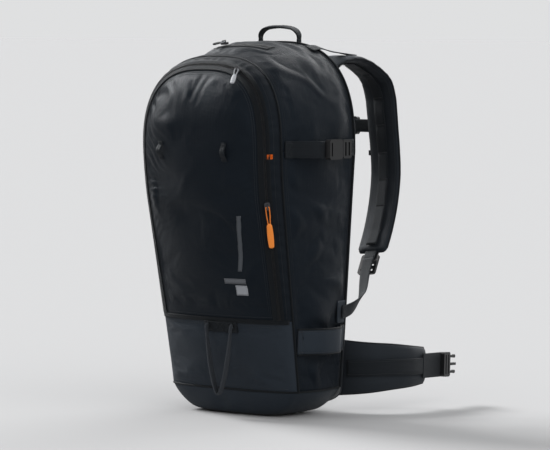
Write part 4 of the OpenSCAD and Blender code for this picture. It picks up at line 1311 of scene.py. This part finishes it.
for side_name, sign in (("left", -1), ("right", 1)):
    top, _ = cast(lower_tree, np.array([AXE_X + sign * 23.5]), np.array([AXE_Z + 3.0]), 3.0)
    root = [top[0]] + [(AXE_X + sign * a, axe_y + b, AXE_Z + c) for a, b, c in
                       ((23.8, 2.2, 1.5), (24, 0, -1.5), (23.2, 0, -8))]
    root = strap("axe_loop_root_" + side_name, curve(root, 5), [8, 6.5], 2.4, (0, 1, 0), HIGHLIGHT_WEB, step=1.2)
    attach(root, "pack", "webbing")

# ---------------------------------------------------------------- top pocket zip
zip_ahead = unit(gusset(0.5, TOP_T + 0.05) - gusset(0.5, TOP_T - 0.05))
zip_up = np.cross([1, 0, 0], zip_ahead)
zip_line = gusset(np.linspace(0.476, 0.524, 60), TOP_T)
zip_line_n = np.repeat(zip_up[None], 60, 0)
for k, sign, nodes in ((0, 1, ["pocket_zip_tape"]), (1, -1, [])):
    line = zip_line + zip_ahead * (sign * 5.6)
    attach(ribbon("pocket_tape_%d" % k, line, zip_line_n, 7.0, TAPE, 0.7, 0.5), "pack", "zip_tape", *nodes)
    attach(coil("pocket_coil_%d" % k, zip_line, zip_line_n, sign), "pack", "zip_tape")
rows = [lay(gusset(np.linspace(0.474, 0.526, 60), TOP_T + k), side_tree, 0.6) for k in (-0.078, 0.078)]
attach(stitches("pocket_zip_stitches", rows), "pack", "body_fabric")


# ---------------------------------------------------------------- zip pulls
def zip_frame(u, level=False):
    """Directions across, along and out of the front zip, and its place; a level frame hangs straight down."""
    place = collar(np.array([u]), 0.0)
    path = unit(collar(u + 0.01, 0.0) - collar(u - 0.01, 0.0))
    raw = front_normals(place)[0]
    out = unit(raw - path * (raw @ path))
    up = unit(np.array([0, 0, 1]) - out * out[2]) if level else path
    return np.cross(up, out), up, out, place[0]


def pull_piece(name, axes, lift, length, wide, cord_mat, grip_mat, node, slot, body=None):
    """Cord loop through the slider's eye, held in a moulded grip with finger ribs."""
    x, y, z, place = axes

    def at(points):
        p = np.asarray(points, float)
        return place + p[:, :1] * x + (p[:, 1:2] - 1) * y + (p[:, 2:] + lift + 4.8) * z

    half = [(0, 0, 0), (1.4, 0, 0), (2.4, -0.8, 0), (2.7, -0.16 * length, -0.2), (2.0, -0.32 * length, -0.2),
            (1.3, -0.46 * length, 0)]
    loop = [(-a, b, c) for a, b, c in half[:0:-1]] + half
    cord = tube("cord", at(curve(loop, 5)), 0.85, cord_mat)
    rings = []
    for k in np.concatenate([np.linspace(0, 0.08, 5), np.linspace(0.12, 0.9, 34), np.linspace(0.93, 1, 6)]):
        near_ends = (0.1 - k) / 0.1, min(1.0, (k - 0.94) / 0.06)
        ends = math.prod(math.sqrt(1 - max(0.0, e) ** 2) for e in near_ends)
        w = wide * (0.66 + 0.34 * math.sin(math.pi * min(1, k * 0.75 + 0.12))) * max(0.25, ends)
        rib = 0.32 * (math.sin(2 * math.pi * k * length * 0.6 / 3.6) if 0.25 < k < 0.85 else 0)
        section = pad_section(w, (3.1 + rib) * max(0.3, ends), 20, 2.8)
        drop = np.full(20, -length * (0.4 + 0.6 * k))
        rings.append(at(np.column_stack([section[:, 0], drop, section[:, 1]])))
    grip = mend(ring_object("grip", np.array(rings), grip_mat))
    attach(join(name, [cord, grip]), body or node, slot, node)


pocket_axes = (np.array([1.0, 0, 0]), zip_ahead, zip_up, gusset(0.5, TOP_T) + np.array([-38.0, 0, 0]))
pull_piece("side_zip_pull", zip_frame(0.25), 1.6, 62, 9.4, ORANGE, ORANGE_GRIP,
           "zip_pull_side", "orange_cord", "side_pull")
pull_piece("top_zip_pull", zip_frame(0.461, True), 2.2, 28, 7.4, GREY, GREY_GRIP,
           "zip_pull_top", "grey_cord", "top_pull")
pull_piece("pocket_zip_pull", pocket_axes, 1.6, 24, 7, GREY, PLASTIC, "pocket_pull", "grey_cord")


# ---------------------------------------------------------------- CAD pieces that stay, with real finishes
def dress(material, width, *nodes):
    """Gives CAD pieces a material and softly rounded edges of this width."""
    for node in nodes:
        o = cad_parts[node]
        o.data.materials.clear()
        o.data.materials.append(material)
        m = o.modifiers.new("edges", "BEVEL")
        m.width = width * MM
        m.segments = 2
        m.limit_method = "ANGLE"
        m.angle_limit = math.radians(35)


dress(PLASTIC, 0.7, "ski_socket_left", "ski_socket_right", "ski_prong_left", "ski_prong_right", "hip_socket",
      "hip_prong", "sternum_socket", "sternum_prong", "strap_buckle_left", "strap_buckle_right", "base_board")
dress(PLASTIC, 0.25, "sternum_rail_left", "sternum_rail_right")
dress(METAL, 0.35, "zip_slider_side", "zip_slider_top", "pocket_slider")
dress(SHEET, 0.3, "frame_sheet")
dress(ALLOY, 0.4, "frame_stays")

# ---------------------------------------------------------------- floor, light and camera
AZ, EL = math.radians(40), math.radians(3.5)
DISTANCE, VIEW_WIDTH, SENSOR = 5.2, 0.835, 36
toward = Vector((math.sin(AZ) * math.cos(EL), -math.cos(AZ) * math.cos(EL), math.sin(EL)))
image_left = Vector((-math.cos(AZ), -math.sin(AZ), 0))
up = Vector((0, 0, 1))
AMBIENT = 0.75
# Soft suns: direction they come from, strength and spread in degrees
SUNS = (
    ("key", image_left * 0.58 - toward * 0.56 + up * 0.62, 4.8, 22),
    ("fill", image_left * -0.5 + toward * 0.75 + up * 0.45, 1.2, 60),
    ("back", image_left * -0.45 - toward * 0.75 + up * 0.5, 1.8, 45),
)
# The floor is as bright as the sky round it, so no horizon line crosses the picture
share = AMBIENT / (AMBIENT + sum(e * w.normalized().z for _, w, e, _ in SUNS) / math.pi)
floor_mat = new_material("floor_paper", (share * 0.99, share * 0.99, share), 0.95, gloss=0.0)
me = bpy.data.meshes.new("floor")
me.from_pydata([(-60, -60, 0), (60, -60, 0), (60, 60, 0), (-60, 60, 0)], [], [(0, 1, 2, 3)])
me.materials.append(floor_mat)
floor = bpy.data.objects.new("floor", me)
scene.collection.objects.link(floor)

world = bpy.data.worlds.new("studio")
scene.world = world
world.use_nodes = True
sky = world.node_tree.nodes["Background"]
sky.inputs[0].default_value = (0.985, 0.992, 1.0, 1)
sky.inputs[1].default_value = AMBIENT
scene.view_settings.view_transform = "Standard"

for name, way, strength, spread in SUNS:
    light = bpy.data.lights.new(name, "SUN")
    light.energy = strength
    light.angle = math.radians(spread)
    o = bpy.data.objects.new(name, light)
    o.rotation_euler = (-way).to_track_quat("-Z", "Y").to_euler()
    scene.collection.objects.link(o)

cam = bpy.data.cameras.new("camera")
cam.sensor_width = SENSOR
cam.lens = SENSOR * DISTANCE / VIEW_WIDTH
cam.clip_end = 100
camera = bpy.data.objects.new("camera", cam)
camera.location = Vector((0.036 * math.cos(AZ), 0.036 * math.sin(AZ), 0.284)) + toward * DISTANCE
camera.rotation_euler = (-toward).to_track_quat("-Z", "Y").to_euler()
scene.collection.objects.link(camera)
scene.camera = camera
